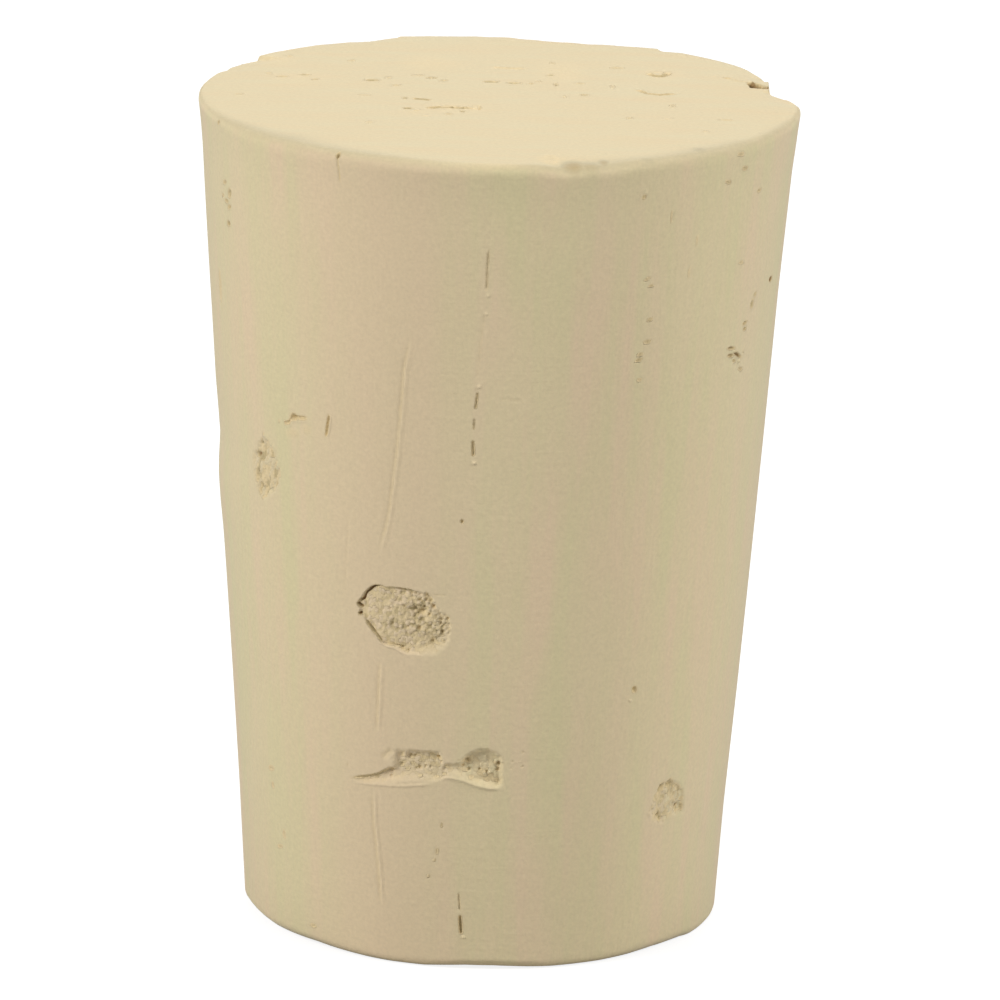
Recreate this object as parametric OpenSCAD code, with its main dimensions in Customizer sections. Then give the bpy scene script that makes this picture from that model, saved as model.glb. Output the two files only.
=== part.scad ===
// Natural cork stopper: a tapered plug cut in one piece from the bark, with its lenticels,
// its growth line and its worn rims.
// Millimetres. The axis is Z, the narrow end is the foot at z = 0, and the front is -Y.
// A turn is an angle about the axis in degrees, 0 at the front and growing towards +X.

/* [Body] */
// Diameter of the wide rim
wide_d = 24.2; // [20:0.1:32]
// Diameter of the foot
narrow_d = 19.2; // [15:0.1:26]
// Length from the foot to the wide face
length = 33.6; // [29:0.1:50]
// How far the side flares out beyond its taper at the wide rim
flare_out = 0.1; // [0:0.02:0.5]
// Height of the flare below the wide rim
flare_h = 2.4; // [1:0.1:6]
// Rounding of the wide rim
wide_edge_r = 0.2; // [0.1:0.05:1]
// Rounding of the foot's rim
narrow_edge_r = 0.4; // [0.1:0.05:1]

/* [Round lenticel] */
// Turn of its centre
round_turn = -18.5; // [-60:0.1:60]
// Height of its centre above the foot
round_up = 14.6; // [8:0.1:24]
// Width along the side
round_w = 4; // [1:0.1:6]
// Height along the side
round_h = 2.8; // [1:0.05:5]
// Depth of its floor beside the crevice
round_depth = 0.38; // [0.2:0.02:1.5]
// Further depth of the crevice along the deep edge
round_crevice = 0.4; // [0.05:0.05:1]

/* [Split lenticel] */
// Turn of the middle of the split
split_turn = -10.8; // [-60:0.1:60]
// Height of the split above the foot
split_up = 8.5; // [5:0.1:22]
// Width of the left hollow
split_left_w = 2.5; // [1:0.1:4]
// Height of the left hollow
split_left_h = 1.4; // [0.5:0.05:3]
// Width of the right hollow
split_right_w = 1.7; // [0.8:0.1:4]
// Height of the right hollow
split_right_h = 1.7; // [0.5:0.05:3]
// Depth of both hollows
split_depth = 0.5; // [0.2:0.05:1.5]
// Width of the slit that joins the hollows and runs out as a tail
split_slit_w = 0.34; // [0.1:0.02:0.8]

/* [Lower lenticel] */
// Turn of its centre
lower_turn = 48; // [20:0.5:80]
// Height of its centre above the foot
lower_up = 6.4; // [4:0.1:20]
// Width along the side
lower_w = 2; // [1:0.1:4]
// Height along the side
lower_h = 1.75; // [1:0.05:4]
// Depth of its floor
lower_depth = 0.16; // [0.08:0.02:1]

/* [Left lenticel] */
// Turn of its centre
left_turn = -55; // [-80:0.5:-30]
// Depth of its centre below the wide face
left_down = 13.8; // [6:0.1:22]
// Width along the side
left_w = 2; // [1:0.1:4]
// Height along the side
left_h = 2.6; // [1:0.05:5]
// Depth of its floor
left_depth = 0.2; // [0.1:0.02:1]

/* [Growth line] */
// Distance of the growth line behind the axis
layer_y = 3; // [1:0.1:6]
// Width of the marks along the growth line
layer_mark_w = 0.3; // [0.1:0.02:0.6]
// Depth of the marks along the growth line
layer_mark_depth = 0.25; // [0.1:0.05:1]
// Width of the open crack where the growth line meets the rim
crack_w = 0.5; // [0.2:0.05:1]
// Depth of the open crack
crack_depth = 0.9; // [0.3:0.05:2]

/* [Furrows and slits] */
// Width of the furrow on the wide face
furrow_w = 0.4; // [0.1:0.05:1]
// Depth of the furrow on the wide face
furrow_depth = 0.3; // [0.1:0.05:1]
// Width of the slits in the side
slit_w = 0.16; // [0.06:0.02:0.4]
// Depth of the slits in the side
slit_depth = 0.22; // [0.1:0.02:0.6]
// Depth of the small pores in the side and the ends
pore_depth = 0.22; // [0.1:0.02:0.6]

/* [Worn rims] */
// How far the break at the right rim goes down the side
break_down = 0.8; // [0.1:0.02:1.2]
// How far the break at the right rim goes in across the wide face
break_in = 1.05; // [0.3:0.05:2]
// How far the wear of the left rim goes down the side
wear_down = 0.26; // [0.1:0.02:0.8]
// How far the wear of the left rim goes in across the wide face
wear_in = 1; // [0.4:0.1:3]
// How far the wear of the rear rim goes down the side
rear_down = 0.22; // [0.1:0.02:0.8]
// How far the wear of the rear rim goes in across the wide face
rear_in = 0.8; // [0.4:0.1:3]
// How far the front chip goes down the side
chip_down = 0.36; // [0.1:0.02:1.2]
// How far the front chip goes in across the wide face
chip_in = 1.2; // [0.5:0.1:3]
// How far the foot's chips go up the side
foot_chip_up = 0.24; // [0.1:0.02:1]
// How far the foot's chips go in across the foot
foot_chip_in = 0.8; // [0.4:0.1:2.5]

/* [Hidden] */

cork_colour = [0.87, 0.79, 0.62];
wide_r = wide_d / 2;
narrow_r = narrow_d / 2;
rise = (wide_r - flare_out - narrow_r) / length;
taper = atan(rise);
rim_lean = atan(rise + 2 * flare_out / flare_h);
$fn = 180;

// How far a cutter stands above the surface that it opens
LIFT = 0.3;
// How far the lower edge of a rim's cutter stands clear of the side, past the bow of the side between rows
CLEAR = 0.06;
// Shares of the outline's reach at the foot and at the top of a pit's wall
WALL_IN = 0.95;
WALL_OUT = 1.06;
// Width and depth of a furrow at its ends, as a share of the middle
RUN_OUT = 0.15;

// Straight bands that make up the flare
FLARE_BANDS = 4;

// Reach of an outline by angle, as a share of its ellipse: cut in at the lower left, full at the lower right
LEAF = [[-180, 0.92], [-171, 0.8], [-156, 0.76], [-125, 0.84], [-104, 0.86], [-86, 1.02], [-72, 1.12],
        [-56, 1.21], [-31, 1.16], [-17, 1.1], [0, 1.06], [23, 0.92], [35, 0.91], [50, 1.01], [63, 0.99],
        [90, 0.96], [116, 1.09], [124, 1.11], [147, 1], [163, 1.01], [180, 0.92]];
// Reach of a ragged outline
RAGGED = [[-180, 0.9], [-140, 1.08], [-95, 0.88], [-50, 1.1], [-10, 0.92], [40, 1.06], [85, 0.9],
          [130, 1.1], [180, 0.9]];

// Radius of the side at a height above the foot: an even taper with a slight flare below the wide rim
function side_r(up) = narrow_r + rise * up + flare_out * max(0, 1 - (length - up) / flare_h) ^ 2;

// Patches: each maps its own millimetres, u right, v up and w outwards, to a surface of the body
function on_side(turn, up) =
    function (u, v, w)
        let (r = side_r(up + v) + w, angle = turn + u / side_r(up) * 180 / PI)
        [r * sin(angle), -r * cos(angle), up + v];
function on_wide(x, y) = function (u, v, w) [x + u, y + v, length + w];
function on_foot(x, y) = function (u, v, w) [x + u, y - v, -w];

// Point of a disc that a point of a square moves to, so that a grid of cells fills a round outline
function disc_point(s, t) = [s * sqrt(1 - t * t / 2), t * sqrt(1 - s * s / 2)];

// Growth line across the wide face, as a gentle wave about its own distance
function growth_y(x) = layer_y + 0.35 * sin(x * 47 + 20) + 0.2 * sin(x * 110);

// Closed skin through a row of sections that each have the same number of points
module sweep(sections)
{
    last = len(sections) - 1;
    n = len(sections[0]);
    function at(k, j) = k * n + j % n;
    skin = [for (k = [0 : last - 1], j = [0 : n - 1]) each [
        [at(k + 1, j), at(k, j), at(k, j + 1)],
        [at(k + 1, j), at(k, j + 1), at(k + 1, j + 1)]]];
    first_cap = [for (j = [n - 1 : -1 : 0]) at(0, j)];
    last_cap = [for (j = [0 : n - 1]) at(last, j)];
    polyhedron([for (s = sections) each s], concat([first_cap, last_cap], skin), convexity = 6);
}

// Pit with a torn outline, a steep wall and a rough floor that falls towards `deep_side` degrees.
// `tilt` is how much shallower the far side is, and `crevice` a groove at the foot of the deep wall.
module pit(patch, size, depth, deep_side = 90, tilt = 0.6, crevice = 0, rough = 0.2,
           cells = [6, 4], outline = RAGGED, seed = 1)
{
    nx = cells.x;
    ny = cells.y;
    bumps = rands(-rough, rough, (nx + 1) * (ny + 1), seed);
    function at(i, j) = j * (nx + 1) + i;
    function reach(d) = lookup(atan2(d.y, d.x), outline);
    function spot(i, j) =
        let (d = disc_point(2 * i / nx - 1, 2 * j / ny - 1))
        [d.x * size.x / 2, d.y * size.y / 2] * reach(d);
    // 1 at the deep side of the pit and 0 at the far side
    function deepness(i, j) =
        let (d = disc_point(2 * i / nx - 1, 2 * j / ny - 1))
        0.5 + 0.5 * (d.x * cos(deep_side) + d.y * sin(deep_side));
    function is_edge(i, j) = i == 0 || j == 0 || i == nx || j == ny;
    function floor_w(i, j) =
        -depth * (1 - tilt * (1 - deepness(i, j)) + bumps[at(i, j)])
        - (is_edge(i, j) ? crevice * max(0, 2 * deepness(i, j) - 0.9) : 0);
    rim = [
        for (i = [0 : nx]) [i, 0],
        for (j = [1 : ny]) [nx, j],
        for (i = [nx - 1 : -1 : 0]) [i, ny],
        for (j = [ny - 1 : -1 : 1]) [0, j]];
    n = len(rim);
    flare = (nx + 1) * (ny + 1);
    middle = flare + n;
    points = [
        for (j = [0 : ny], i = [0 : nx])
            let (p = spot(i, j) * WALL_IN)
            patch(p.x, p.y, floor_w(i, j)),
        for (e = rim)
            let (p = spot(e.x, e.y) * WALL_OUT)
            patch(p.x, p.y, LIFT),
        patch(0, 0, 2 * LIFT)];
    // Cells are split along alternate diagonals, so that the grain of the floor has no direction
    floor_faces = [for (j = [0 : ny - 1], i = [0 : nx - 1])
        let (a = at(i, j), b = at(i + 1, j), c = at(i + 1, j + 1), d = at(i, j + 1))
        each (i + j) % 2 == 0 ? [[a, b, c], [a, c, d]] : [[a, b, d], [b, c, d]]];
    wall_faces = [for (k = [0 : n - 1])
        let (a = rim[k], b = rim[(k + 1) % n], c = flare + k, d = flare + (k + 1) % n)
        each [[at(a.x, a.y), c, d], [at(a.x, a.y), d, at(b.x, b.y)]]];
    lid_faces = [for (k = [0 : n - 1]) [middle, flare + (k + 1) % n, flare + k]];
    polyhedron(points, concat(floor_faces, wall_faces, lid_faces), convexity = 8);
}

// V-shaped furrow along a path of the patch's own points, running out at both ends
module furrow(patch, path, width, depth)
{
    last = len(path) - 1;
    sections = [for (k = [0 : last])
        let (
            ahead = path[min(k + 1, last)] - path[max(k - 1, 0)],
            across = [-ahead.y, ahead.x] / norm(ahead),
            swell = RUN_OUT + (1 - RUN_OUT) * sin(180 * k / last),
            half = width / 2 * (swell + LIFT / depth),
            left = path[k] + across * half,
            right = path[k] - across * half
        )
        [patch(left.x, left.y, LIFT), patch(path[k].x, path[k].y, -depth * swell),
         patch(right.x, right.y, LIFT)]];
    sweep(sections);
}

// Slit of five stations with a slight bow, centred on the patch and lying at `lie` degrees
module slit(patch, reach, lie, width, depth)
{
    ahead = [cos(lie), sin(lie)] * reach / 2;
    bow = [-sin(lie), cos(lie)] * width / 6;
    furrow(patch, [-ahead, -ahead / 2 + bow, bow / 2, ahead / 2 - bow, ahead], width, depth);
}

// Bite out of a rim, as rows of turn and share of its depth. `sense` is 1 at the wide rim, -1 at the foot.
module rim_bite(sense, rows, along_side, along_face)
{
    end_z = sense > 0 ? length : 0;
    clear = 1;
    // Hollow of the bitten face, as a share of its reach
    hollow = 0.06;
    function rim_point(turn, r, z) = [r * sin(turn), -r * cos(turn), z];
    sections = [for (row = rows)
        let (
            turn = row[0],
            down = end_z - sense * along_side * row[1],
            outer = side_r(down) + CLEAR,
            inner = side_r(end_z) - along_face * row[1],
            ring = [
                rim_point(turn, inner, end_z + sense * clear),
                rim_point(turn, inner, end_z),
                rim_point(turn, (inner + outer) / 2 - hollow * row[1],
                          (end_z + down) / 2 - sense * hollow * row[1]),
                rim_point(turn, outer, down),
                rim_point(turn, outer + clear, down),
                rim_point(turn, outer + clear, end_z + sense * clear)]
        )
        sense > 0 ? ring : [for (k = [len(ring) - 1 : -1 : 0]) ring[k]]];
    sweep(sections);
}

// Tapered plug with both rims rounded, before any pit or bite
module plug()
{
    low = [side_r(narrow_edge_r) - narrow_edge_r / cos(taper), narrow_edge_r];
    high = [side_r(length - wide_edge_r) - wide_edge_r / cos(rim_lean), length - wide_edge_r];
    flare = [for (k = [0 : FLARE_BANDS - 1])
        let (up = length - flare_h + (flare_h - wide_edge_r) * k / FLARE_BANDS)
        [side_r(up), up]];
    rotate_extrude()
    {
        polygon([
            [0, 0],
            [low.x, 0],
            low + narrow_edge_r * [cos(taper), -sin(taper)],
            each flare,
            high + wide_edge_r * [cos(rim_lean), -sin(rim_lean)],
            [high.x, length],
            [0, length]]);
        intersection()
        {
            union()
            {
                translate(low)
                    circle(r = narrow_edge_r);
                translate(high)
                    circle(r = wide_edge_r);
            }
            translate([0, 0])
                square([wide_r * 2, length]);
        }
    }
}

// The two lenticels and the slit that face the front
module front_lenticels()
{
    pit(on_side(round_turn, round_up), [round_w, round_h], round_depth, deep_side = 165, tilt = 0.72,
        crevice = round_crevice, rough = 0.24, cells = [16, 12], outline = LEAF, seed = 7);
    split = on_side(split_turn, split_up);
    pit(on_side(split_turn - 4.8, split_up + 0.05), [split_left_w, split_left_h], split_depth,
        deep_side = 95, tilt = 0.75, crevice = 0.1, cells = [10, 6], seed = 11);
    pit(on_side(split_turn + 11, split_up + 0.12), [split_right_w, split_right_h], split_depth,
        deep_side = 80, tilt = 0.75, crevice = 0.1, cells = [8, 7], seed = 13);
    furrow(split, [[-3.7, -0.87], [-2.9, -0.66], [-2.1, -0.3], [-1.2, -0.1]], split_slit_w, split_depth / 2);
    furrow(split, [[-0.2, 0.1], [0.5, 0.18], [1.1, 0.1], [1.7, 0.25]], split_slit_w * 1.6, split_depth);
}

// The scaly lenticel at the left and the weathered one low on the right
module outer_lenticels()
{
    pit(on_side(left_turn, length - left_down), [left_w, left_h], left_depth, deep_side = 150, tilt = 0.5,
        rough = 0.35, cells = [6, 8], seed = 17);
    lower = on_side(lower_turn, lower_up);
    pit(lower, [lower_w, lower_h], lower_depth, deep_side = 90, tilt = 0.3, rough = 0.3,
        cells = [6, 5], seed = 19);
    slit(on_side(lower_turn - 0.5, lower_up + 0.72), 0.9, -12, slit_w * 1.6, slit_depth * 1.6);
    slit(on_side(lower_turn + 3.6, lower_up - 0.32), 1, -22, slit_w * 1.6, slit_depth * 1.6);
}

// Slits that stand along the side: rows of turn, height above the foot, reach and lie
module side_slits()
{
    from_foot = [[-3.2, 1.9, 0.7, 86], [-10, 5, 0.5, 75], [34.5, 11.3, 0.45, 60], [-53, 4.4, 0.6, 70],
                 [-57, 6.6, 0.9, 80], [-23.8, 11.4, 2.4, 84], [-24.6, 4.6, 3.6, 84]];
    from_wide = [[-1.6, 4.6, 1.6, 88], [-3.1, 9.9, 1.2, 87], [-3.4, 11.3, 1, 88], [-17.6, 8.8, 3.2, 80],
                 [-20.2, 12.4, 3.4, 82], [-22.8, 15.6, 2.6, 80], [-35.5, 11.4, 0.7, 88],
                 [-44.6, 11.4, 1.3, 14], [29.2, 1.3, 0.6, 80], [31, 3.7, 0.5, 10],
                 [31.8, 6.6, 0.6, 80], [30.2, 9, 0.7, 20], [43, 3.4, 2.2, 86], [54, 4.7, 1.1, -8]];
    for (row = from_foot)
        slit(on_side(row[0], row[1]), row[2], row[3], slit_w, slit_depth);
    for (row = from_wide)
        slit(on_side(row[0], length - row[1]), row[2], row[3], slit_w, slit_depth);
}

// Small pores in the side: rows of turn, depth below the wide face, width and height
module side_pores()
{
    rows = [[-66, 3.1, 0.9, 1.5], [57.5, 8.9, 1, 0.7], [60.3, 7.9, 0.5, 0.5], [63, 6.9, 0.7, 0.6],
            [72, 6.3, 0.4, 0.4], [54, 1.7, 0.8, 0.4], [-5.5, 14.7, 0.25, 0.3], [-31.5, 0.8, 0.3, 0.8]];
    for (k = [0 : len(rows) - 1])
        let (row = rows[k])
        pit(on_side(row[0], length - row[1]), [row[2], row[3]], pore_depth, cells = [4, 3], seed = 30 + k);
}

// Lenticels and pores that the same layers show at the back
module back_lenticels()
{
    pit(on_side(163, length - 12.5), [2.7, 1.9], round_depth, deep_side = 20, tilt = 0.6, crevice = 0.2,
        cells = [10, 7], seed = 41);
    pit(on_side(-158, 9.4), [2.2, 1.5], round_depth, deep_side = 100, tilt = 0.7, crevice = 0.15,
        cells = [8, 5], seed = 43);
    rows = [[140, 5.8, 0.8, 0.5], [-128, 21, 0.9, 1.1], [-170, 26.4, 0.6, 0.5], [150, 15.5, 0.5, 0.4],
            [128, 24.5, 0.7, 0.9]];
    for (k = [0 : len(rows) - 1])
        let (row = rows[k])
        pit(on_side(row[0], row[1]), [row[2], row[3]], pore_depth, cells = [4, 3], seed = 50 + k);
    for (turn = [107, -106])
        for (down = [4.5, 11, 19.5, 26])
            slit(on_side(turn, length - down), 2.6 + down / 20, 87, slit_w, slit_depth);
    slit(on_side(176, 19), 3.2, 84, slit_w, slit_depth);
    slit(on_side(-143, 27), 1.6, 80, slit_w, slit_depth);
}

// Marks along the growth line on both ends, and the crack where it opens at the rim
module growth_marks()
{
    on_wide_line = [[-9, 0.5], [-7.7, 0.7], [-5.2, 0.6], [-2.8, 0.6], [-0.3, 0.7], [0.6, 0.7], [2.1, 0.4],
                    [3.3, 0.5], [4.6, 0.5]];
    for (row = on_wide_line)
        slit(on_wide(row[0], growth_y(row[0])), row[1], 8, layer_mark_w, layer_mark_depth);
    slit(on_wide(6.2, layer_y - 1.5), 1.2, -28, layer_mark_w, layer_mark_depth);
    slit(on_wide(3.4, layer_y - 2), 0.4, 0, layer_mark_w, layer_mark_depth);
    for (x = [-6.4, -3.1, 0.4, 2.6, 6])
        slit(on_foot(x, growth_y(x)), 1.3, 6, layer_mark_w, layer_mark_depth);
}

// Break at the right rim: a piece has come away in front of the growth line's slab, which keeps an
// upright end, and the line stands open beside it
module layer_break()
{
    // Turn, reach in from the rim, depth at the rim, and the share of that depth that is an upright wall
    rows = [[116.5, -0.04, 0.95, 0.8], [110, 0.52, 1, 0.7], [106, 0.77, 0.95, 0.65], [101, 1, 0.8, 0.5],
            [96.5, 0.6, 0.6, 0.2], [94.5, 0.3, 0.5, 0.05], [91.5, 0.12, 0.3, 0], [86, 0.04, 0.1, 0]];
    clear = 1;
    function rim_point(turn, r, z) = [r * sin(turn), -r * cos(turn), z];
    sections = [for (k = [len(rows) - 1 : -1 : 0])
        let (
            turn = rows[k][0],
            inner = side_r(length) - break_in * rows[k][1],
            down = length - break_down * rows[k][2],
            outer = side_r(down) + CLEAR
        )
        [rim_point(turn, inner, length + clear),
         rim_point(turn, inner, length),
         rim_point(turn, inner + 0.1 * (outer - inner), length - break_down * rows[k][2] * rows[k][3]),
         rim_point(turn, outer, down),
         rim_point(turn, outer + clear, down),
         rim_point(turn, outer + clear, length + clear)]];
    sweep(sections);
    // Growth line as it bends to the rim, from the point where it would meet the rim
    rim_x = sqrt(wide_r ^ 2 - layer_y ^ 2);
    bend = [[-2.7, 1.85], [-2.2, 1.55], [-1.75, 1.1], [-1.4, 0.55], [-1.05, 0.2], [-0.3, -0.2]];
    furrow(on_wide(rim_x, layer_y), bend, crack_w, crack_depth);
}

// Furrow, flake and pores of the two ends
module end_pores()
{
    furrow(on_wide(-2.3, -1.9), [[-0.6, -0.2], [-0.2, -0.05], [0.3, 0.12], [0.8, -0.05], [1.2, 0], [1.6, 0]],
           furrow_w, furrow_depth);
    slit(on_wide(-3.6, -2.35), 0.8, -10, furrow_w * 0.8, furrow_depth * 0.8);
    slit(on_wide(-3.3, -0.5), 1.1, -14, furrow_w * 0.6, furrow_depth * 0.7);
    pit(on_wide(6.45, 5.25), [0.9, 1.1], pore_depth, deep_side = -40, tilt = 0.8, cells = [5, 4], seed = 61);
    rows = [[4.7, 6.2, 0.5], [0.6, 5.7, 0.6], [-6.1, 6.3, 0.4], [-8.6, 6.9, 0.4], [-3, 6.5, 0.6],
            [-5.3, 0, 0.4], [-10.4, -0.4, 0.3], [-5.2, -5.2, 0.4], [8.9, -2.7, 0.4], [5.2, -3, 0.3]];
    for (k = [0 : len(rows) - 1])
        let (row = rows[k])
        pit(on_wide(row[0], row[1]), [row[2], row[2]], pore_depth * 0.6, cells = [3, 3], seed = 70 + k);
    foot_rows = [[-3.5, -2.4, 0.9], [4.2, -4.1, 0.6], [1.6, 5.8, 0.5], [-5.4, 4.9, 0.5]];
    for (k = [0 : len(foot_rows) - 1])
        let (row = foot_rows[k])
        pit(on_foot(row[0], row[1]), [row[2], row[2] * 0.7], pore_depth, cells = [4, 3], seed = 80 + k);
}

// Places where the soft corners have broken or worn away
module worn_rims()
{
    // Left, with a step at the end of the growth line
    rim_bite(1, [[-127.2, 0.05], [-126, 0.95], [-122, 1], [-118.5, 0.7], [-114, 0.65], [-112.5, 0.85],
                 [-108, 0.6], [-103, 0.7], [-98, 0.4], [-92, 0.05]], wear_down, wear_in);
    // Front, a double chip
    rim_bite(1, [[7, 0.05], [10, 0.6], [13.5, 1], [17, 0.6], [20, 0.5], [22, 0.7], [24.5, 0.4], [27, 0.05]],
             chip_down, chip_in);
    // Rear, in two stretches
    rim_bite(1, [[149, 0.05], [154, 0.55], [158, 0.6], [162, 0.95], [170, 1], [175, 0.7], [180, 0.5],
                 [190, 0.45], [197, 0.25], [200.5, 0.05]], rear_down, rear_in);
    rim_bite(1, [[200.6, 0.3], [203, 0.5], [207, 0.65], [211, 0.5], [218, 0.3], [226, 0.2], [231.5, 0.05]],
             rear_down, rear_in);
    // Foot, in front and at both sides of it
    rim_bite(-1, [[-84, 0.4], [-70, 1], [-55, 0.85], [-42, 0.9], [-36, 0.55], [-29, 0.3], [-24, 0.05]],
             foot_chip_up, foot_chip_in);
    rim_bite(-1, [[-11, 0.1], [-7, 0.7], [-2, 1], [4, 1], [9, 0.7], [14, 0.4], [18, 0.1]],
             foot_chip_up, foot_chip_in);
    rim_bite(-1, [[33, 0.1], [47, 0.7], [60, 0.6], [75, 0.5], [85, 0.1]], foot_chip_up, foot_chip_in);
}

// The one solid piece of cork
module stopper()
{
    color(cork_colour)
        difference()
        {
            plug();
            front_lenticels();
            outer_lenticels();
            side_slits();
            side_pores();
            back_lenticels();
            growth_marks();
            layer_break();
            end_pores();
            worn_rims();
        }
}

stopper();
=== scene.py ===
import math
from functools import partial

import bpy
import numpy as np
from mathutils import Matrix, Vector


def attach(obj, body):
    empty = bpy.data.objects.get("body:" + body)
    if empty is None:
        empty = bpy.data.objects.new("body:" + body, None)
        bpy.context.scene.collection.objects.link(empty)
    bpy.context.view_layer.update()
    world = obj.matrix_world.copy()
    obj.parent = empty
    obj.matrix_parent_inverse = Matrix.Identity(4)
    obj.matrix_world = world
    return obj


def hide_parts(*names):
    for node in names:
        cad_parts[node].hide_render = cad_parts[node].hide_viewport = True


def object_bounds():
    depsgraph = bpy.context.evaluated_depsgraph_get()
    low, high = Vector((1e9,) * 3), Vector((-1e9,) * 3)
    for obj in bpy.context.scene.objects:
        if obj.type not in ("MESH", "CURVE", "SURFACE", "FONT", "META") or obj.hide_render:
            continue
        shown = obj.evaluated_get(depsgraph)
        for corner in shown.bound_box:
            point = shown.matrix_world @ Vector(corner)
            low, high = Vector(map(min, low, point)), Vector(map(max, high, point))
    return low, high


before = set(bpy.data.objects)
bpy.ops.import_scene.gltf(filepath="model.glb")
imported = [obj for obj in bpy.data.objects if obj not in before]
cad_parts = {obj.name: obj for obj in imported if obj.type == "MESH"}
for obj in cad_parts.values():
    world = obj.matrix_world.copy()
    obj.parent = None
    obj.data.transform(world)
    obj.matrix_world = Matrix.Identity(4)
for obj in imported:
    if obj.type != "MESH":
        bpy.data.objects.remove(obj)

# The cork stopper's looks. Lengths here are millimetres in the part's own frame (+Z up the axis, -Y the
# front), and become metres when the mesh is made. A turn is an angle in degrees about the axis, 0 at the
# front and growing towards +X. Depths go into the cork, so a negative depth stands proud.
#
# The shapes worked into the cork (paths, outlines, widths and depths) are in hundredths of a millimetre.
cad_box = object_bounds()
MM = 0.001

# ---------------------------------------------------------------- sizes of the cork
WIDE_R = 12.1
NARROW_R = 9.6
LENGTH = round((cad_box[1][2] - cad_box[0][2]) / MM, 3)
FLARE_OUT = 0.1
FLARE_H = 2.4
FOOT_EDGE_R = 0.4
RISE = (WIDE_R - FLARE_OUT - NARROW_R) / LENGTH
TAPER = math.atan(RISE)
# Rounding of the wide rim as rows of (turn, hundredths): softly worn in front, crisper elsewhere
WIDE_EDGE = [
    (-180, 20), (-95, 20), (-75, 30), (-50, 48), (-25, 45), (0, 40), (30, 45), (50, 48), (75, 30), (95, 20),
    (120, 20), (125, 8), (152, 8), (158, 20), (180, 20)]

# ---------------------------------------------------------------- mesh density
# Whole cells round the cork, up its side and across an end, and the steps a cell is divided into at its finest
COLUMNS = 120
ROWS = 60
FACE_CELLS = COLUMNS // 4
STEPS = 16
STEP = 2 * math.pi * WIDE_R / (COLUMNS * STEPS)
# How fast cells grow with the distance from a feature and from a rim, in millimetres per millimetre
GRADING, RIM_GRADING = 1.65, 0.5
# Bands with cells of the coarse size: below the wide rim, above the foot's rim, and on a flat face inside its rim
WIDE_BAND, FOOT_BAND, FACE_BAND = 0.5, 0.4, 0.2
# Cell sizes to ask for, which give cells of 1, 2 and 4 steps
FINE, MEDIUM, COARSE = 0.04, 0.08, 0.16
# How far off a feature is still looked for, and the distance given where none is near
NEAR, FAR = 2, 1e3
# Features of the wide face run this far down over its rim
OVER_RIM = 0.3


def mm(*given):
    """Numbers or tables in hundredths of a millimetre, in millimetres."""
    return [np.array(part) / 100 for part in given]


def rows_at(rows, at, outside=None):
    """Value at each place from rows of (place, hundredths); outside them the end values, or the one given."""
    places, values = np.array(rows).T
    return np.interp(at, places, values / 100, left=outside, right=outside)


def side_r(up):
    """Radius of the side at a height above the foot, with its faint flare near the wide rim."""
    return NARROW_R + RISE * up + flare(up)


def flare(up):
    """How far the side stands out beyond its taper."""
    return FLARE_OUT * np.clip(1 - (LENGTH - up) / FLARE_H, 0, 1) ** 2


# ---------------------------------------------------------------- noise
def smooth(t):
    """A soft step from 0 to 1."""
    t = np.clip(t, 0, 1)
    return t * t * (3 - 2 * t)


def lattice(cells, seed):
    """A value from -1 to 1 for each whole-number cell (an n x 3 array), the same on every run."""
    n = cells[:, 0] * 73856093 ^ cells[:, 1] * 19349663 ^ cells[:, 2] * 83492791 ^ (seed * 668265263)
    n = (n ^ (n >> 13)) * 1274126177 & 0x7FFFFFFF
    n = (n ^ (n >> 15)) * 974711 & 0x7FFFFFFF
    return (n % 65536) / 32768.0 - 1.0


def noise(points, scale, seed):
    """Smooth value noise from -1 to 1; scale is the size of its lumps along x, y and z."""
    p = points / np.asarray(scale, float) + seed * 7.31
    base = np.floor(p).astype(np.int64)
    t = smooth(p - base)
    total = np.zeros(len(p))
    for corner in np.ndindex(2, 2, 2):
        share = np.where(corner, t, 1 - t).T
        total += share[0] * share[1] * share[2] * lattice(base + corner, seed)
    return total


def layered_noise(points, scale, seed, layers=3):
    """Noise with finer layers of half the size and half the height added."""
    scale = np.asarray(scale, float)
    return sum(noise(points, scale / 2**k, seed + 17 * k) / 2**k for k in range(layers)) / 1.6


def granules(points, seed):
    """Rounded grains a unit apart: their height from 0 to 1, and a value from -1 to 1 kept all over a grain."""
    base = np.floor(points).astype(np.int64)
    nearest = np.full(len(points), FAR)
    pick = np.zeros(len(points))
    for i, j in np.ndindex(3, 3):
        cell = base + [i - 1, j - 1, 0]
        shift = 0.5 + 0.4 * np.stack([lattice(cell, seed), lattice(cell, seed + 1)], axis=1)
        far = np.hypot(*(points[:, :2] - cell[:, :2] - shift).T)
        pick = np.where(far < nearest, lattice(cell, seed + 2), pick)
        nearest = np.minimum(nearest, far)
    return np.clip(1 - nearest**2, 0, 1), pick


def flat(u, v):
    """Points of a plane, as the noise takes them."""
    return np.stack([u, v, np.zeros_like(u)], axis=1)


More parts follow.
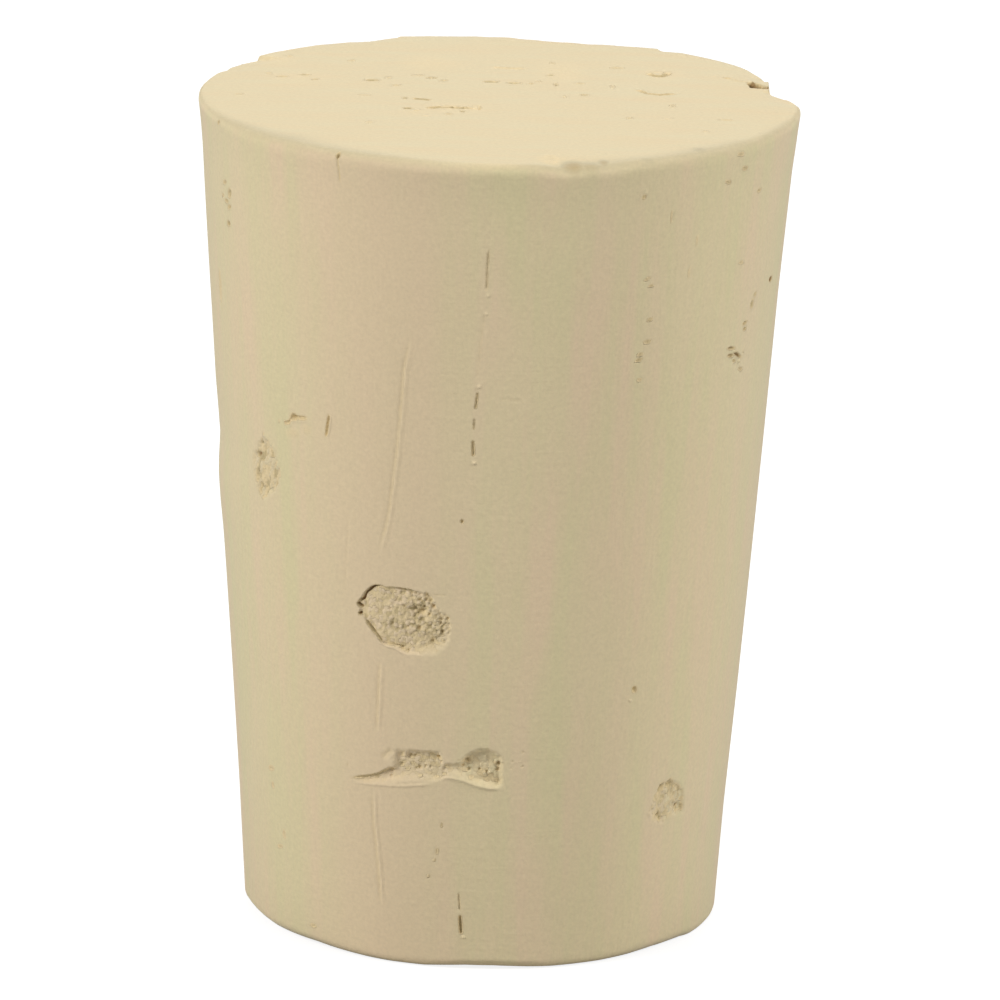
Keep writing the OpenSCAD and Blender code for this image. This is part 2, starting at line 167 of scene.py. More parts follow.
# ---------------------------------------------------------------- places on the surface
class Place:
    """A patch of the side, the wide face or the foot, with its own u to the right and v up, in millimetres.

    It lies at a turn and a height on the side, and at an x and a y on a flat face.
    """

    def __init__(self, face, across, up):
        self.face, self.across, self.up = face, across, up

    def moved(self, u, v):
        """The place on the side u hundredths further to the right and v higher."""
        u, v = mm(u, v)
        return Place("side", self.across + math.degrees(u / side_r(self.up)), self.up + v)

    def local(self, skin):
        """The patch's own u and v of every point of the skin, far away for the other faces."""
        x, y, z = skin.xyz.T
        if self.face == "side":
            turn = (skin.turn - self.across + 180) % 360 - 180
            u, v, outside = np.radians(turn) * side_r(self.up), z - self.up, skin.face != "side"
        elif self.face == "wide":
            u, v, outside = x - self.across, y - self.up, z < LENGTH - OVER_RIM
        else:
            u, v, outside = x - self.across, self.up - y, z > FOOT_EDGE_R
        return np.where(outside, FAR, u), np.where(outside, FAR, v)


side, wide, foot = (partial(Place, face) for face in ("side", "wide", "foot"))


def along(path, u, v):
    """For points u, v: distance from a path of points, share of its length, and side (+1 left, -1 right)."""
    path = np.asarray(path)
    steps = np.diff(path, axis=0)
    lengths = np.hypot(*steps.T)
    starts = np.concatenate([[0], np.cumsum(lengths)])
    best, share, hand = np.full(len(u), FAR), np.zeros(len(u)), np.ones(len(u))
    for a, step, length, start in zip(path, steps, lengths, starts):
        du, dv = u - a[0], v - a[1]
        t = np.clip((du * step[0] + dv * step[1]) / length**2, 0, 1)
        far = np.hypot(du - t * step[0], dv - t * step[1])
        closer = far < best
        best = np.where(closer, far, best)
        share = np.where(closer, (start + t * length) / starts[-1], share)
        hand = np.where(closer, np.sign(step[0] * dv - step[1] * du), hand)
    return best, share, hand


def turned(u, v, lie, width, height):
    """Points u, v along and across a direction lie in degrees, counted in widths and heights."""
    c, s = math.cos(math.radians(lie)), math.sin(math.radians(lie))
    return (u * c + v * s) / width, (v * c - u * s) / height


def inset(outline, u, v):
    """Distance of points within a closed outline from its edge, negative outside it."""
    far = along(np.vstack([outline, outline[:1]]), u, v)[0]
    inside = np.zeros(len(u), bool)
    for (u0, v0), (u1, v1) in zip(outline, np.roll(outline, -1, axis=0)):
        crosses = (v0 > v) != (v1 > v)
        inside ^= crosses & (u < (u1 - u0) * (v - v0) / ((v1 - v0) or 1e-9) + u0)
    return np.where(inside, far, -far)


def blend(rows, u, v):
    """Values at each point from rows of (u, v, values...), each counting more the nearer it is."""
    total = weights = 0
    for row in rows:
        weight = 1 / (0.03 + (u - row[0]) ** 2 + (v - row[1]) ** 2) ** 1.5
        total = total + weight * row[2:, None]
        weights = weights + weight
    return total / weights


# ---------------------------------------------------------------- kinds of feature
class Feature:
    """Something worked into a face, all within a margin of a path, which asks for cells of a size.

    cut(u, v) gives the depth in millimetres, and the tone there: 0 plain, 0.15 warm, 0.5 tan, 1 dark brown,
    and pale below 0. In pits, grooves and holes the tan and brown are partly painted shade and partly the brown
    of the cork there, and pale is a painted highlight on lips, nubs and crumb tops. far(u, v) is the distance
    outside its shape, 0 or less within it.
    """

    def __init__(self, place, path, margin, cell, cut, far=None):
        self.place, self.cell, self.cut = place, cell, cut
        self.low, self.high = np.min(path, axis=0) - margin, np.max(path, axis=0) + margin
        self.far = far or (lambda u, v: along(path, u, v)[0] - margin)

    def near(self, skin, margin):
        """The points within a margin of the feature's box: their numbers, u and v."""
        u, v = self.place.local(skin)
        beside = (u > self.low[0] - margin) & (u < self.high[0] + margin)
        near = np.flatnonzero(beside & (v > self.low[1] - margin) & (v < self.high[1] + margin))
        return near, u[near], v[near]

    def distance(self, skin):
        """Distance of every point outside the feature, 0 within it."""
        near, u, v = self.near(skin, NEAR)
        far = np.full(len(skin.xyz), FAR)
        far[near] = np.maximum(self.far(u, v), 0)
        return far

    def apply(self, skin, depth, tone_and_painted_light):
        """Works the feature into the depth and the tone of the points within it."""
        near, u, v = self.near(skin, 0)
        within = self.far(u, v) <= 0
        near = near[within]
        cut, tone = self.cut(u[within], v[within])
        depth[near] += cut
        tone_and_painted_light[near] = np.where(np.abs(tone) > np.abs(tone_and_painted_light[near]), tone, tone_and_painted_light[near])


def raggedness(u, v, seed):
    """Noise from about -1 to 1 that makes an edge ragged at a scale of a tenth of a millimetre."""
    return layered_noise(flat(u, v), (0.16, 0.16, 1), seed, 2)


def slit(place, path, width, depth, lip=0, lip_side=0, tone=0.3, ends=0.25, cell=FINE, tone_spread=0.2):
    """A narrow groove along a path, running out at both ends, with a raised lip on one or both sides.

    The tone is full as far out as the given share of the half width. In the groove it is partly painted shade and
    partly the brown of the cork, and below 0 on a raised lip it is a painted highlight.
    """
    path, width, depth, lip = mm(path, width, depth, lip)
    half = width / 2

    def cut(u, v):
        distance, share, hand = along(path, u, v)
        distance = np.maximum(distance + 0.14 * width * raggedness(u, v, 3), 0)
        run = smooth(np.minimum(share, 1 - share) / ends + 0.15)
        groove = depth * run * (1 - smooth(distance / half))
        proud = lip * run * np.exp(-(((distance - 1.25 * half) / (0.6 * half)) ** 2))
        proud = np.where((lip_side == 0) | (hand == lip_side), proud, 0)
        return groove - proud, tone * run * (1 - smooth((distance / half - tone_spread) / (1.2 - tone_spread)))

    return Feature(place, path, width * (1 if lip else 0.55), cell, cut)


def spot(place, width, height, depth, lie=0, tone=0.15, lip=0, cell=FINE, tone_spread=0.1):
    """A small rounded pore, or a nub where the depth is negative, lying at an angle, toned as far out as a given share
    of its size: a pore's tone is partly painted shade and partly brown, and a nub keeps only a tone below 0, a painted
    highlight.
    """
    width, height, depth, lip = mm(width, height, depth, lip)
    long, short = max(width, height) / 2, min(width, height) / 2
    aim = math.radians(lie if width >= height else lie + 90)
    tip = (long - short + 0.01) * np.array([math.cos(aim), math.sin(aim)])
    paint = tone if depth > 0 else min(tone, 0)

    def cut(u, v):
        across, upright = turned(u, v, lie, width / 2, height / 2)
        q = np.hypot(across, upright) + 0.12 * raggedness(u + width, v + height, 4)
        proud = lip * np.exp(-(((upright + 1.2) / 0.4) ** 2)) * (1 - smooth(np.abs(across)))
        return depth * (1 - smooth(q)) - proud, paint * (1 - smooth((q - tone_spread) / (1.1 - tone_spread)))

    return Feature(place, [-tip, tip], short * (1.6 if lip else 1.1), cell, cut)


def hollow(place, outline, rows, holes=(), grain=(12, 12), lie=0, torn=5, tone=0.12, dark=0.3, seed=0,
           hole_tone=2.2, highlight=0.6, height=1.3, cell=FINE):
    """A lenticel: a hollow within a torn outline, with a crumbly floor.

    rows are (u, v, depth, width of the wall, height of the crumbs). holes are (u, v, radius, depth), and a
    negative depth is a nub, toned by hole_tone for each millimetre: a hole darker as painted shade, partly the brown
    of the cork, and a nub paler as a painted highlight. lie turns the crumbs, which are grain across and grain high.
    """
    outline, rows, holes, grain, torn = mm(outline, rows, holes, grain, torn)
    margin = 0.12

    def cut(u, v):
        within = inset(outline, u, v) + torn * layered_noise(flat(u, v), (0.3, 0.3, 1), seed)
        depth, wall, rough = blend(rows, u, v)
        crumbs = flat(*turned(u, v, lie, *grain))
        dome, pick = granules(crumbs, seed + 5)
        lumps = np.clip(1.8 * noise(crumbs, (2.6, 2.6, 1), seed + 9), -1, 1)
        steep = smooth(within / wall)
        relief = (0.5 - (0.9 + 0.6 * pick) * dome - 0.7 * lumps) * smooth(within / 0.15)
        cutting = steep * depth + height * rough * relief
        # Here and there a grain is brown, and another one pale as a painted highlight; the valleys between the grains
        # get painted shade in warm brown
        grain_tone = dark * np.clip(-pick - 0.5, 0, 0.2) / 0.2 - highlight * np.clip(pick - 0.24, 0, 0.2) / 0.2
        coarse = np.clip(rough / 0.05, 0, 1) * steep
        valley = 0.8 * dark * smooth(0.7 - 1.7 * dome - 0.6 * lumps)
        shade = tone * steep + (grain_tone * smooth(1.6 * dome) + valley) * coarse
        # Holes get painted shade and nubs a painted highlight, by their depth
        for hole_u, hole_v, radius, deep in holes:
            ring = 1 - smooth(np.hypot(u - hole_u, v - hole_v) / radius)
            cutting += deep * ring
            shade += hole_tone * deep * ring
        return cutting, np.clip(shade, -0.5, 1)

    return Feature(place, outline, margin, cell, cut, lambda u, v: -inset(outline, u, v) - margin)


def crease(path, width, depth, lip, tone, cell=FINE):
    """A slit of the side along rows of (turn, height in millimetres), with its lip at the left."""
    turn0, up0 = path[0]
    local = [(100 * math.radians(turn - turn0) * side_r(up0), 100 * (up - up0)) for turn, up in path]
    return slit(side(turn0, up0), local, width, depth, lip, 1, tone, 0.2, cell)


def small_pit(place, width, height, seed, depth=15):
    """A plain lenticel for the sides that face away."""
    angles = [math.radians(a) for a in range(0, 360, 30)]
    reach = [1 + 0.12 * math.sin(3 * a + seed) + 0.08 * math.sin(5 * a + 2 * seed) for a in angles]
    outline = [(width / 2 * r * math.cos(a), height / 2 * r * math.sin(a)) for a, r in zip(angles, reach)]
    rows = [(-width / 4, 0, depth, 20, 4), (width / 4, 0, depth * 1.4, 12, 5)]
    return hollow(place, outline, rows, grain=(20, 20), seed=seed, cell=MEDIUM)


def fine_zone(place, path, spread, cell=MEDIUM):
    """A zone that gets finer cells and no cut of its own."""
    path, spread = mm(path, spread)
    return Feature(place, path, spread, cell, lambda u, v: (0 * u, 0 * u))


# ---------------------------------------------------------------- the cork's own features
def round_lenticel():
    """The big lenticel in front: a crumbly plug, cracked free along its left and lower left edge."""
    here = side(-18.5, 14.6)
    outline = [
        (-185, 3), (-193, 42), (-168, 78), (-150, 105), (-125, 130), (-95, 138), (-50, 137), (0, 135), (50, 132),
        (90, 126), (130, 110), (148, 75), (170, 52), (200, 38), (212, 0), (212, -45), (200, -85), (172, -120),
        (135, -142), (70, -150), (15, -144), (-10, -128), (-40, -118), (-80, -115), (-95, -98), (-115, -75),
        (-140, -45), (-160, -17)]
    rows = [
        (-160, 40, 8, 7, 2), (-100, 95, 9, 5, 1), (-90, 20, 10, 7, 3.5), (-90, -60, 7, 6, 2.5), (-30, 100, 13, 6, 3),
        (0, 30, 14, 8, 4.5), (-20, -35, 12, 8, 4), (-30, -90, 9, 10, 2), (60, 90, 17, 10, 5.5), (80, 40, 20, 10, 6.5),
        (60, -30, 18, 10, 5.5), (50, -80, 15, 20, 1.8), (40, -115, 15, 26, 3.5), (120, 90, 17, 12, 5.5),
        (130, 10, 15, 14, 4.5), (180, 10, 13, 16, 5.5), (140, -65, 18, 42, 5.5), (180, -60, 18, 40, 4),
        (110, -120, 20, 50, 0), (180, -100, 16, 45, 0)]
    holes = [
        (105, 117, 13, 10), (133, 68, 13, 14), (102, 93, 10, 10), (75, 88, 9, 9), (75, 65, 10, 10), (92, 62, 10, 10),
        (53, 52, 9, 10), (85, 38, 14, 13), (115, 30, 12, 10), (160, 15, 9, 8), (160, -3, 10, 9), (193, 22, 10, 10),
        (198, -8, 12, 10), (72, -28, 15, 12), (120, -12, 10, 8), (150, -38, 10, 10), (168, -37, 10, 10),
        (128, -80, 13, 12), (10, 55, 10, 8), (-25, 75, 9, 8), (-50, 38, 10, 8), (-75, 92, 7, 5), (60, 115, 8, 6),
        (-40, -20, 8, 6), (3, -117, 9, 8), (27, -130, 8, 8), (65, -92, 7, 5), (25, -30, 8, 7), (67, 16, 13, -9),
        (140, -60, 13, -8), (170, -70, 15, -10), (178, 20, 10, -7), (42, 60, 9, -6), (-142, 15, 10, -5),
        (0, 65, 10, -6), (132, 88, 10, -8), (65, 72, 7, -5), (110, -40, 7, -6), (-178, 20, 9, -7)]
    yield hollow(here, outline, rows, holes, (16, 14.5), torn=8, tone=0.11, dark=0.42, seed=7, highlight=1.2, height=1.55)
    # The crack round its left edge, with a hook at its lower end, painted dark: painted shade in the crack and the
    # brown of the lenticel
    yield slit(here, [(-187, 50), (-162, 68), (-150, 95), (-130, 114), (-112, 127), (-90, 132)],
               14, 10, tone=0.95, ends=0.2, tone_spread=0.35)
    yield slit(here, [(-166, 30), (-180, 36), (-192, 47)], 14, 12, tone=0.85, ends=0.1, tone_spread=0.4)
    yield spot(here.moved(-179, 3), 20, 18, 20, tone=0.95, tone_spread=0.5)
    # Painted shade under its top edge, brownish
    yield slit(here, [(-60, 130), (-30, 130), (10, 129), (50, 127)], 12, 7, tone=0.4)
    yield spot(here.moved(15, 126), 24, 13, 6, tone=0.7, tone_spread=0.4)
    # The crack along its lower left edge, with painted shade in it and the brown of the lenticel
    yield slit(here, [(-155, -20), (-135, -42), (-115, -63), (-95, -85), (-80, -105)], 8.5, 8,
               5, -1, 0.7, ends=0.15, tone_spread=0.4)
    yield slit(here, [(-78, -108), (-40, -111), (-10, -112), (5, -124), (30, -134)], 10, 8, 4, -1, 0.2)
    # Raised lip outside it, painted pale as a highlight
    yield slit(here, [(-168, -26), (-145, -50), (-120, -78), (-95, -105), (-60, -120), (-20, -124), (0, -136),
                      (40, -150)], 13, -4, tone=-0.5, tone_spread=0.5)
    yield slit(here, [(95, 120), (125, 117), (190, 119)], 8, 2.5, tone=0.05)


def split_lenticel():
    """The long gash below it: two crumbly hollows, a neck between them and a tail to the left."""
    here = side(-11, 8.5)
    outline = [
        (-370, -92), (-300, -70), (-245, -52), (-205, -24), (-180, -12), (-186, 30), (-170, 64), (-140, 74),
        (-90, 75), (-30, 76), (25, 74), (40, 55), (48, 30), (80, 27), (105, 30), (120, 55), (142, 82), (175, 95),
        (220, 98), (250, 82), (278, 66), (288, 35), (286, -20), (284, -60), (260, -74), (210, -68), (160, -62),
        (130, -45), (100, -32), (65, -34), (40, -52), (-20, -64), (-100, -72), (-180, -88), (-260, -98), (-320, -102)]
    rows = [
        (-350, -95, 4, 10, 0), (-300, -85, 10, 12, 0), (-240, -70, 15, 12, 1), (-240, -90, 10, 30, 0),
        (-185, -40, 22, 10, 2), (-170, -75, 15, 40, 0), (-185, 20, 8, 60, 1), (-170, 50, 13, 60, 1),
        (-140, 50, 22, 40, 3), (-120, 10, 20, 30, 3), (-100, -50, 14, 45, 1), (-60, 55, 22, 20, 2),
        (-50, 10, 20, 30, 3.5), (-30, -45, 12, 45, 1), (15, 50, 22, 20, 4), (30, 40, 20, 30, 3), (20, -10, 18, 30, 3),
        (70, 15, 11, 12, 1), (80, -15, 8, 30, 0), (120, 30, 22, 20, 3), (120, -15, 12, 30, 1), (160, 70, 22, 30, 1),
        (170, 10, 22, 25, 4), (190, -35, 22, 25, 3), (220, 70, 25, 25, 2), (230, 15, 22, 25, 4.5),
        (265, 10, 18, 30, 4.5), (250, -45, 16, 25, 2)]
    holes = [
        (-60, -8, 13, 9), (-35, 0, 10, 8), (-13, -2, 9, 9), (-135, 0, 10, 8), (-75, -12, 8, 6), (-100, 40, 12, 10),
        (-80, 40, 9, 8), (20, 45, 13, 10), (30, 25, 10, 10), (45, -6, 14, 7), (135, 38, 14, 10), (115, 15, 10, 8),
        (142, -2, 13, 10), (258, 3, 14, 12), (262, 28, 12, 10), (185, 0, 9, 8), (215, -10, 9, 8), (-182, -25, 15, 10),
        (-182, -58, 10, 7), (-240, -68, 9, 5), (-120, 42, 14, -10), (208, 55, 10, -8), (190, 18, 9, -7),
        (205, -15, 9, -8), (225, -12, 8, -8), (250, 32, 8, -8), (272, 35, 8, -8), (15, 35, 7, -6)]
    yield hollow(here, outline, rows, holes, (20, 15), torn=7, tone=0.06, dark=0.36, seed=11)
    # The tail's groove, with painted shade in it
    yield slit(here, [(-360, -88), (-300, -73), (-245, -58), (-205, -34), (-178, -26)], 16, 10, ends=0.3)
    # Raised lower lip, painted pale as a highlight, and the shallow flaw above the tail
    yield slit(here, [(-340, -103), (-240, -98), (-150, -92), (-70, -80), (0, -68)], 20, -4, tone=-0.4, tone_spread=0.4)
    yield slit(here, [(20, -42), (70, -36), (120, -45), (170, -64), (220, -74), (275, -78)], 20, -5,
               tone=-0.5, tone_spread=0.4)
    yield slit(here, [(-215, 12), (-195, 40), (-170, 62)], 40, 5, tone=0.05, cell=MEDIUM)
    for u, v, w, h, deep in (
            (315, 40, 16, 14, 5), (330, 35, 14, 12, -4), (348, 38, 14, 12, -4), (355, 18, 20, 12, 7),
            (355, 78, 16, 16, 5), (310, 10, 14, 20, 3), (102, 48, 14, 12, -3), (102, 38, 14, 12, 5),
            (-372, -36, 12, 30, 4)):
        yield spot(here.moved(u, v), w, h, 0.7 * deep, tone=0.04)


def lower_lenticel():
    """The weathered lenticel low on the right: soft hollows in a shallow round dip."""
    outline = [
        (-115, -30), (-100, 35), (-60, 75), (-30, 95), (10, 92), (50, 75), (95, 45), (110, 10), (120, -45), (90, -75),
        (30, -85), (-30, -90), (-80, -75)]
    rows = [
        (-90, 0, 2, 30, 2), (-30, 70, 15, 25, 4.5), (10, 75, 14, 20, 4.5), (10, 40, 7, 20, 5), (85, 25, 10, 20, 4),
        (0, 0, 3, 30, 3), (60, -30, 15, 20, 3.5), (100, -45, 14, 20, 3), (-40, -50, 12, 30, 3.5), (20, -75, 2, 30, 0)]
    holes = [
        (-42, 72, 24, 9), (5, 78, 26, 9), (35, 52, 10, 5), (12, 55, 10, 5), (72, 26, 10, 7), (90, 26, 12, 7),
        (-72, 35, 10, 4), (30, 17, 10, 4), (-46, -50, 12, 10), (-32, -64, 13, 8), (45, -28, 20, 11),
        (75, -38, 26, 14), (100, -48, 14, 8), (20, 56, 9, -9), (-10, 44, 10, -6), (-100, -33, 14, -6),
        (-28, -38, 12, -6)]
    yield hollow(side(48, 6.4), outline, rows, holes, (16, 16), torn=3, tone=0.14, dark=0.35, seed=19, hole_tone=6.5,
                 highlight=1, cell=MEDIUM)


def left_lenticel():
    """The scaly lenticel at the left: upright flakes with small hollows between them."""
    here = side(-54, 20.5)
    outline = [
        (-115, -95), (-105, -35), (-70, 10), (-30, 50), (0, 75), (35, 55), (70, 20), (90, -30), (100, -90),
        (85, -140), (50, -180), (0, -205), (-50, -220), (-85, -180)]
    rows = [
        (-80, -60, 12, 30, 3.5), (-30, 20, 8, 25, 6), (30, -10, 8, 30, 6.5), (-20, -60, 8, 30, 7),
        (30, -90, 6, 30, 5.5), (-70, -120, 10, 25, 6), (-30, -160, 10, 25, 7), (40, -150, 8, 25, 6.5)]
    holes = [
        (-62, -33, 13, 9), (-50, -30, 12, 8), (-72, -105, 13, 9), (-78, -125, 14, 7), (-55, -160, 16, 10),
        (15, -168, 16, 10), (60, -133, 12, 6), (-28, 22, 14, 6), (-10, 60, 14, 5), (33, -65, 16, 4),
        (-42, -55, 10, 5), (12, 8, 12, 4), (40, 0, 14, 4), (-40, -210, 12, 4), (-70, -20, 10, -6), (-55, -16, 10, -6),
        (-50, -95, 10, -6), (-78, -160, 12, -7), (74, -140, 8, -5), (30, -180, 8, -4), (-95, -95, 10, -4)]
    yield hollow(here, outline, rows, holes, (32, 14), 66, torn=4, tone=0.14, dark=0.35, seed=17, hole_tone=5.5,
                 highlight=1, cell=MEDIUM)
    # The nick at its upper right, and the short dash beyond it, with painted shade in them
    yield spot(here.moved(182, 174), 56, 42, 12, 10, 0.42)
    for path, depth in (([(150, 148), (175, 168), (210, 176), (260, 184)], 9),
                        ([(125, 135), (145, 143), (162, 150)], 8)):
        yield slit(here, path, 22, depth, 2, -1, 0.32)
    yield spot(here.moved(95, 138), 14, 30, 3)
    yield spot(here.moved(175, 105), 120, 60, 0.5, 10, 0.08, cell=MEDIUM)
    yield spot(here.moved(250, 135), 70, 60, 0.5, tone=0.08, cell=MEDIUM)
    yield crease([(-34.9, 22.7), (-35.8, 21.7)], 19, 10, 3, 0.34)


def side_marks():
    """Creases, dashes and pores of the side that faces the front."""
    # The long crease, a thin raised line with a shallow groove at its left
    for path in ([(-16.4, 26.5), (-17.8, 25), (-18.4, 23.5), (-19.4, 21.5), (-20.4, 20), (-21.4, 18.7), (-23.6, 17.2)],
                 [(-23.4, 12.8), (-23.9, 11.3), (-24.4, 9.7)],
                 [(-25.6, 7.2), (-25.4, 6), (-24.5, 4.5), (-23.6, 2.4)]):
        yield crease(path, 18, 4, 4.5, 0.06, MEDIUM)
    # Others as path, width, depth, tone and cell size, the tone being painted shade in the groove, partly brown. The
    # two before the last make the slit near the foot.
    for path, width, depth, tone, cell in (
            ([(-30.4, 18.8), (-31.2, 16.9), (-31.8, 15.2)], 14, 2, 0.02, MEDIUM),
            ([(-0.4, 33), (-1, 31.8), (-1.4, 30.2)], 20, 2, 0, MEDIUM),
            ([(-1.3, 30.2), (-1.5, 29.2), (-1.5, 28.4)], 16, 5, 0.1, FINE),
            ([(-1.8, 27.5), (-2.6, 26), (-3, 24.6)], 16, 3, 0.03, MEDIUM),
            ([(-2.85, 24.3), (-3.2, 23.55)], 14, 7, 0.24, FINE),
            ([(-3.4, 23.2), (-3.5, 22.7)], 12, 5, 0.15, FINE),
            ([(-3.6, 22.3), (-3.45, 21.6)], 15, 9, 0.32, FINE),
            ([(-4.4, 2.35), (-4, 1.5)], 18, 13, 0.55, FINE),
            ([(-4.8, 3.3), (-4.4, 2.5)], 13, 6, 0.1, FINE),
            ([(1.4, 24), (6.2, 23.98)], 12, 2, 0.02, MEDIUM)):
        yield crease(path, width, depth, 0, tone, cell)
    # The bright nubs of the dashed groove and of the slit, the chain above the slit, and single pores, as turn, height
    # and what spot takes. The pores' tones are painted shade, partly brown, and the nub below the pore at turn 34 is
    # painted pale as a highlight.
    for turn, up, *sizes in (
            (-2.6, 24.5, 22, 20, -6), (-3.3, 21.35, 22, 20, -7), (-1.2, 28.25, 22, 20, -4), (-1.5, 27.5, 22, 20, -4),
            (-3.5, 1.4, 22, 18, -6), (-9, 6.1, 16, 30, 5, 0, 0.25, 0, MEDIUM), (-10, 5, 20, 40, 5, 0, 0.25, 0, MEDIUM),
            (-10.6, 4.6, 16, 20, 5, 0, 0.25, 0, MEDIUM), (-12, 3.9, 20, 16, 5, 0, 0.25, 0, MEDIUM),
            (-5.5, 18.9, 17, 26, 12, 0, 0.35), (35, 11.55, 34, 40, 13, 20, 0.5), (34, 11.1, 30, 16, -6, -20, -0.5),
            (16, 29.1, 60, 70, 1.5, 0, 0.03, 0, MEDIUM)):
        yield spot(side(turn, up), *sizes)


def side_pores():
    """Groups of small pores near the wide rim and at the right, toned with painted shade, partly brown, and their nubs
    painted pale as a highlight.
    """
    here = side(45, 28.5)
    for u, v, w, h, lie, deep in (
            (-325, 360, 18, 20, 0, 5.5), (-325, 385, 20, 14, 0, -5), (-285, 20, 30, 12, 20, 4),
            (-265, -10, 26, 12, 0, 5), (-260, -150, 30, 14, 10, 5), (-265, -240, 36, 14, 0, 5),
            (-295, -290, 30, 12, 0, 5), (-300, -312, 34, 14, 12, 6), (-290, -395, 26, 12, 0, 4),
            (-190, 265, 12, 50, 0, 3), (-50, 150, 12, 50, 0, 2), (-80, 20, 12, 50, 0, 2), (100, 365, 40, 13, -20, 6),
            (330, 290, 34, 14, 0, 6), (240, 10, 40, 12, -10, 4), (160, 470, 50, 14, -10, 5),
            (200, 405, 40, 16, -10, 6), (240, 410, 14, 14, 0, -5), (230, -342, 62, 13, -10, 8),
            (230, -372, 50, 14, -10, 8), (285, -380, 75, 15, -28, 10), (320, -445, 40, 13, -20, 6),
            (320, -255, 40, 14, 10, 7), (325, -280, 30, 14, 0, 7), (370, -185, 30, 34, 0, 6.5),
            (390, -150, 30, 20, 0, 5), (255, -360, 16, 14, 0, -8), (295, -410, 20, 14, 0, -8),
            (335, -375, 30, 16, -20, -6), (260, -400, 30, 12, -20, 6)):
        cell = FINE if deep > 6.5 else MEDIUM
        yield spot(here.moved(u, v), 1.2 * w, 1.25 * h, 1.4 * deep, lie, 0.08 * deep, max(0.4 * deep, 0), cell, 0.4)
    # A deep pore painted dark: painted shade in it and the brown of the cork
    yield spot(side(72.9, 27.25), 50, 28, 14, tone=0.95, tone_spread=0.5)
    here = side(-66, 30)
    for u, v, w, h, lie, deep in (
            (-10, 95, 40, 18, 20, 6), (35, 60, 30, 44, -20, 7), (0, 20, 36, 18, 10, 7), (25, 0, 36, 20, 30, 7),
            (10, -70, 28, 26, 10, 9), (-35, 35, 22, 18, 0, 5), (-135, -360, 40, 160, 0, 3)):
        yield spot(here.moved(u, v), 1.2 * w, 1.1 * h, 1.5 * deep, lie, 0.075 * deep, 3.5, MEDIUM, 0.4)
    # The brown fleck on the wide rim with its crack
    yield crease([(-31.6, 33.6), (-31.4, 33.1), (-31.1, 32.3)], 11, 6, 0, 0.14)
    yield spot(side(-31.6, 33.42), 22, 30, 8, tone=0.7, tone_spread=0.3)
    yield spot(side(-67.5, 33.35), 24, 26, 6, tone=0.5, tone_spread=0.3)
    for turn, up, w, h in ((-57.5, 7, 60, 30), (-57, 6.3, 30, 40), (-53, 4.4, 30, 50), (-55, 3.8, 60, 20),
                           (-43.5, 0.85, 50, 30)):
        yield spot(side(turn, up), w, h, 5, 10, 0.3, 2, MEDIUM)


def back_features():
    """The lenticels, pores and slits of the side away from the front, with painted shade in their hollows and grooves
    and painted highlights on their crumbs.
    """
    for turn, up, *sizes in ((163, LENGTH - 12.5, 270, 190, 41, 24), (-158, 9.4, 220, 150, 43, 24),
                             (140, 5.8, 80, 50, 60), (-128, 21, 90, 110, 61), (-170, 26.4, 60, 50, 62),
                             (150, 15.5, 50, 40, 63), (128, 24.5, 70, 90, 64)):
        yield small_pit(side(turn, up), *sizes)
    for turn in (107, -106):
        for down in (4.5, 11, 19.5, 26):
            reach = (2.6 + down / 20) / 2
            bow = 0.5 if down > 12 else -0.4
            path = [(turn, LENGTH - down + reach), (turn + bow, LENGTH - down), (turn - 0.3, LENGTH - down - reach)]
            yield crease(path, 22, 12, 0, 0.2, MEDIUM)
    for path in ([(175.2, 20.6), (176, 19), (176.8, 17.4)], [(-143.6, 27.8), (-143, 27), (-142.2, 26.2)]):
        yield crease(path, 20, 8, 0, 0.15, MEDIUM)


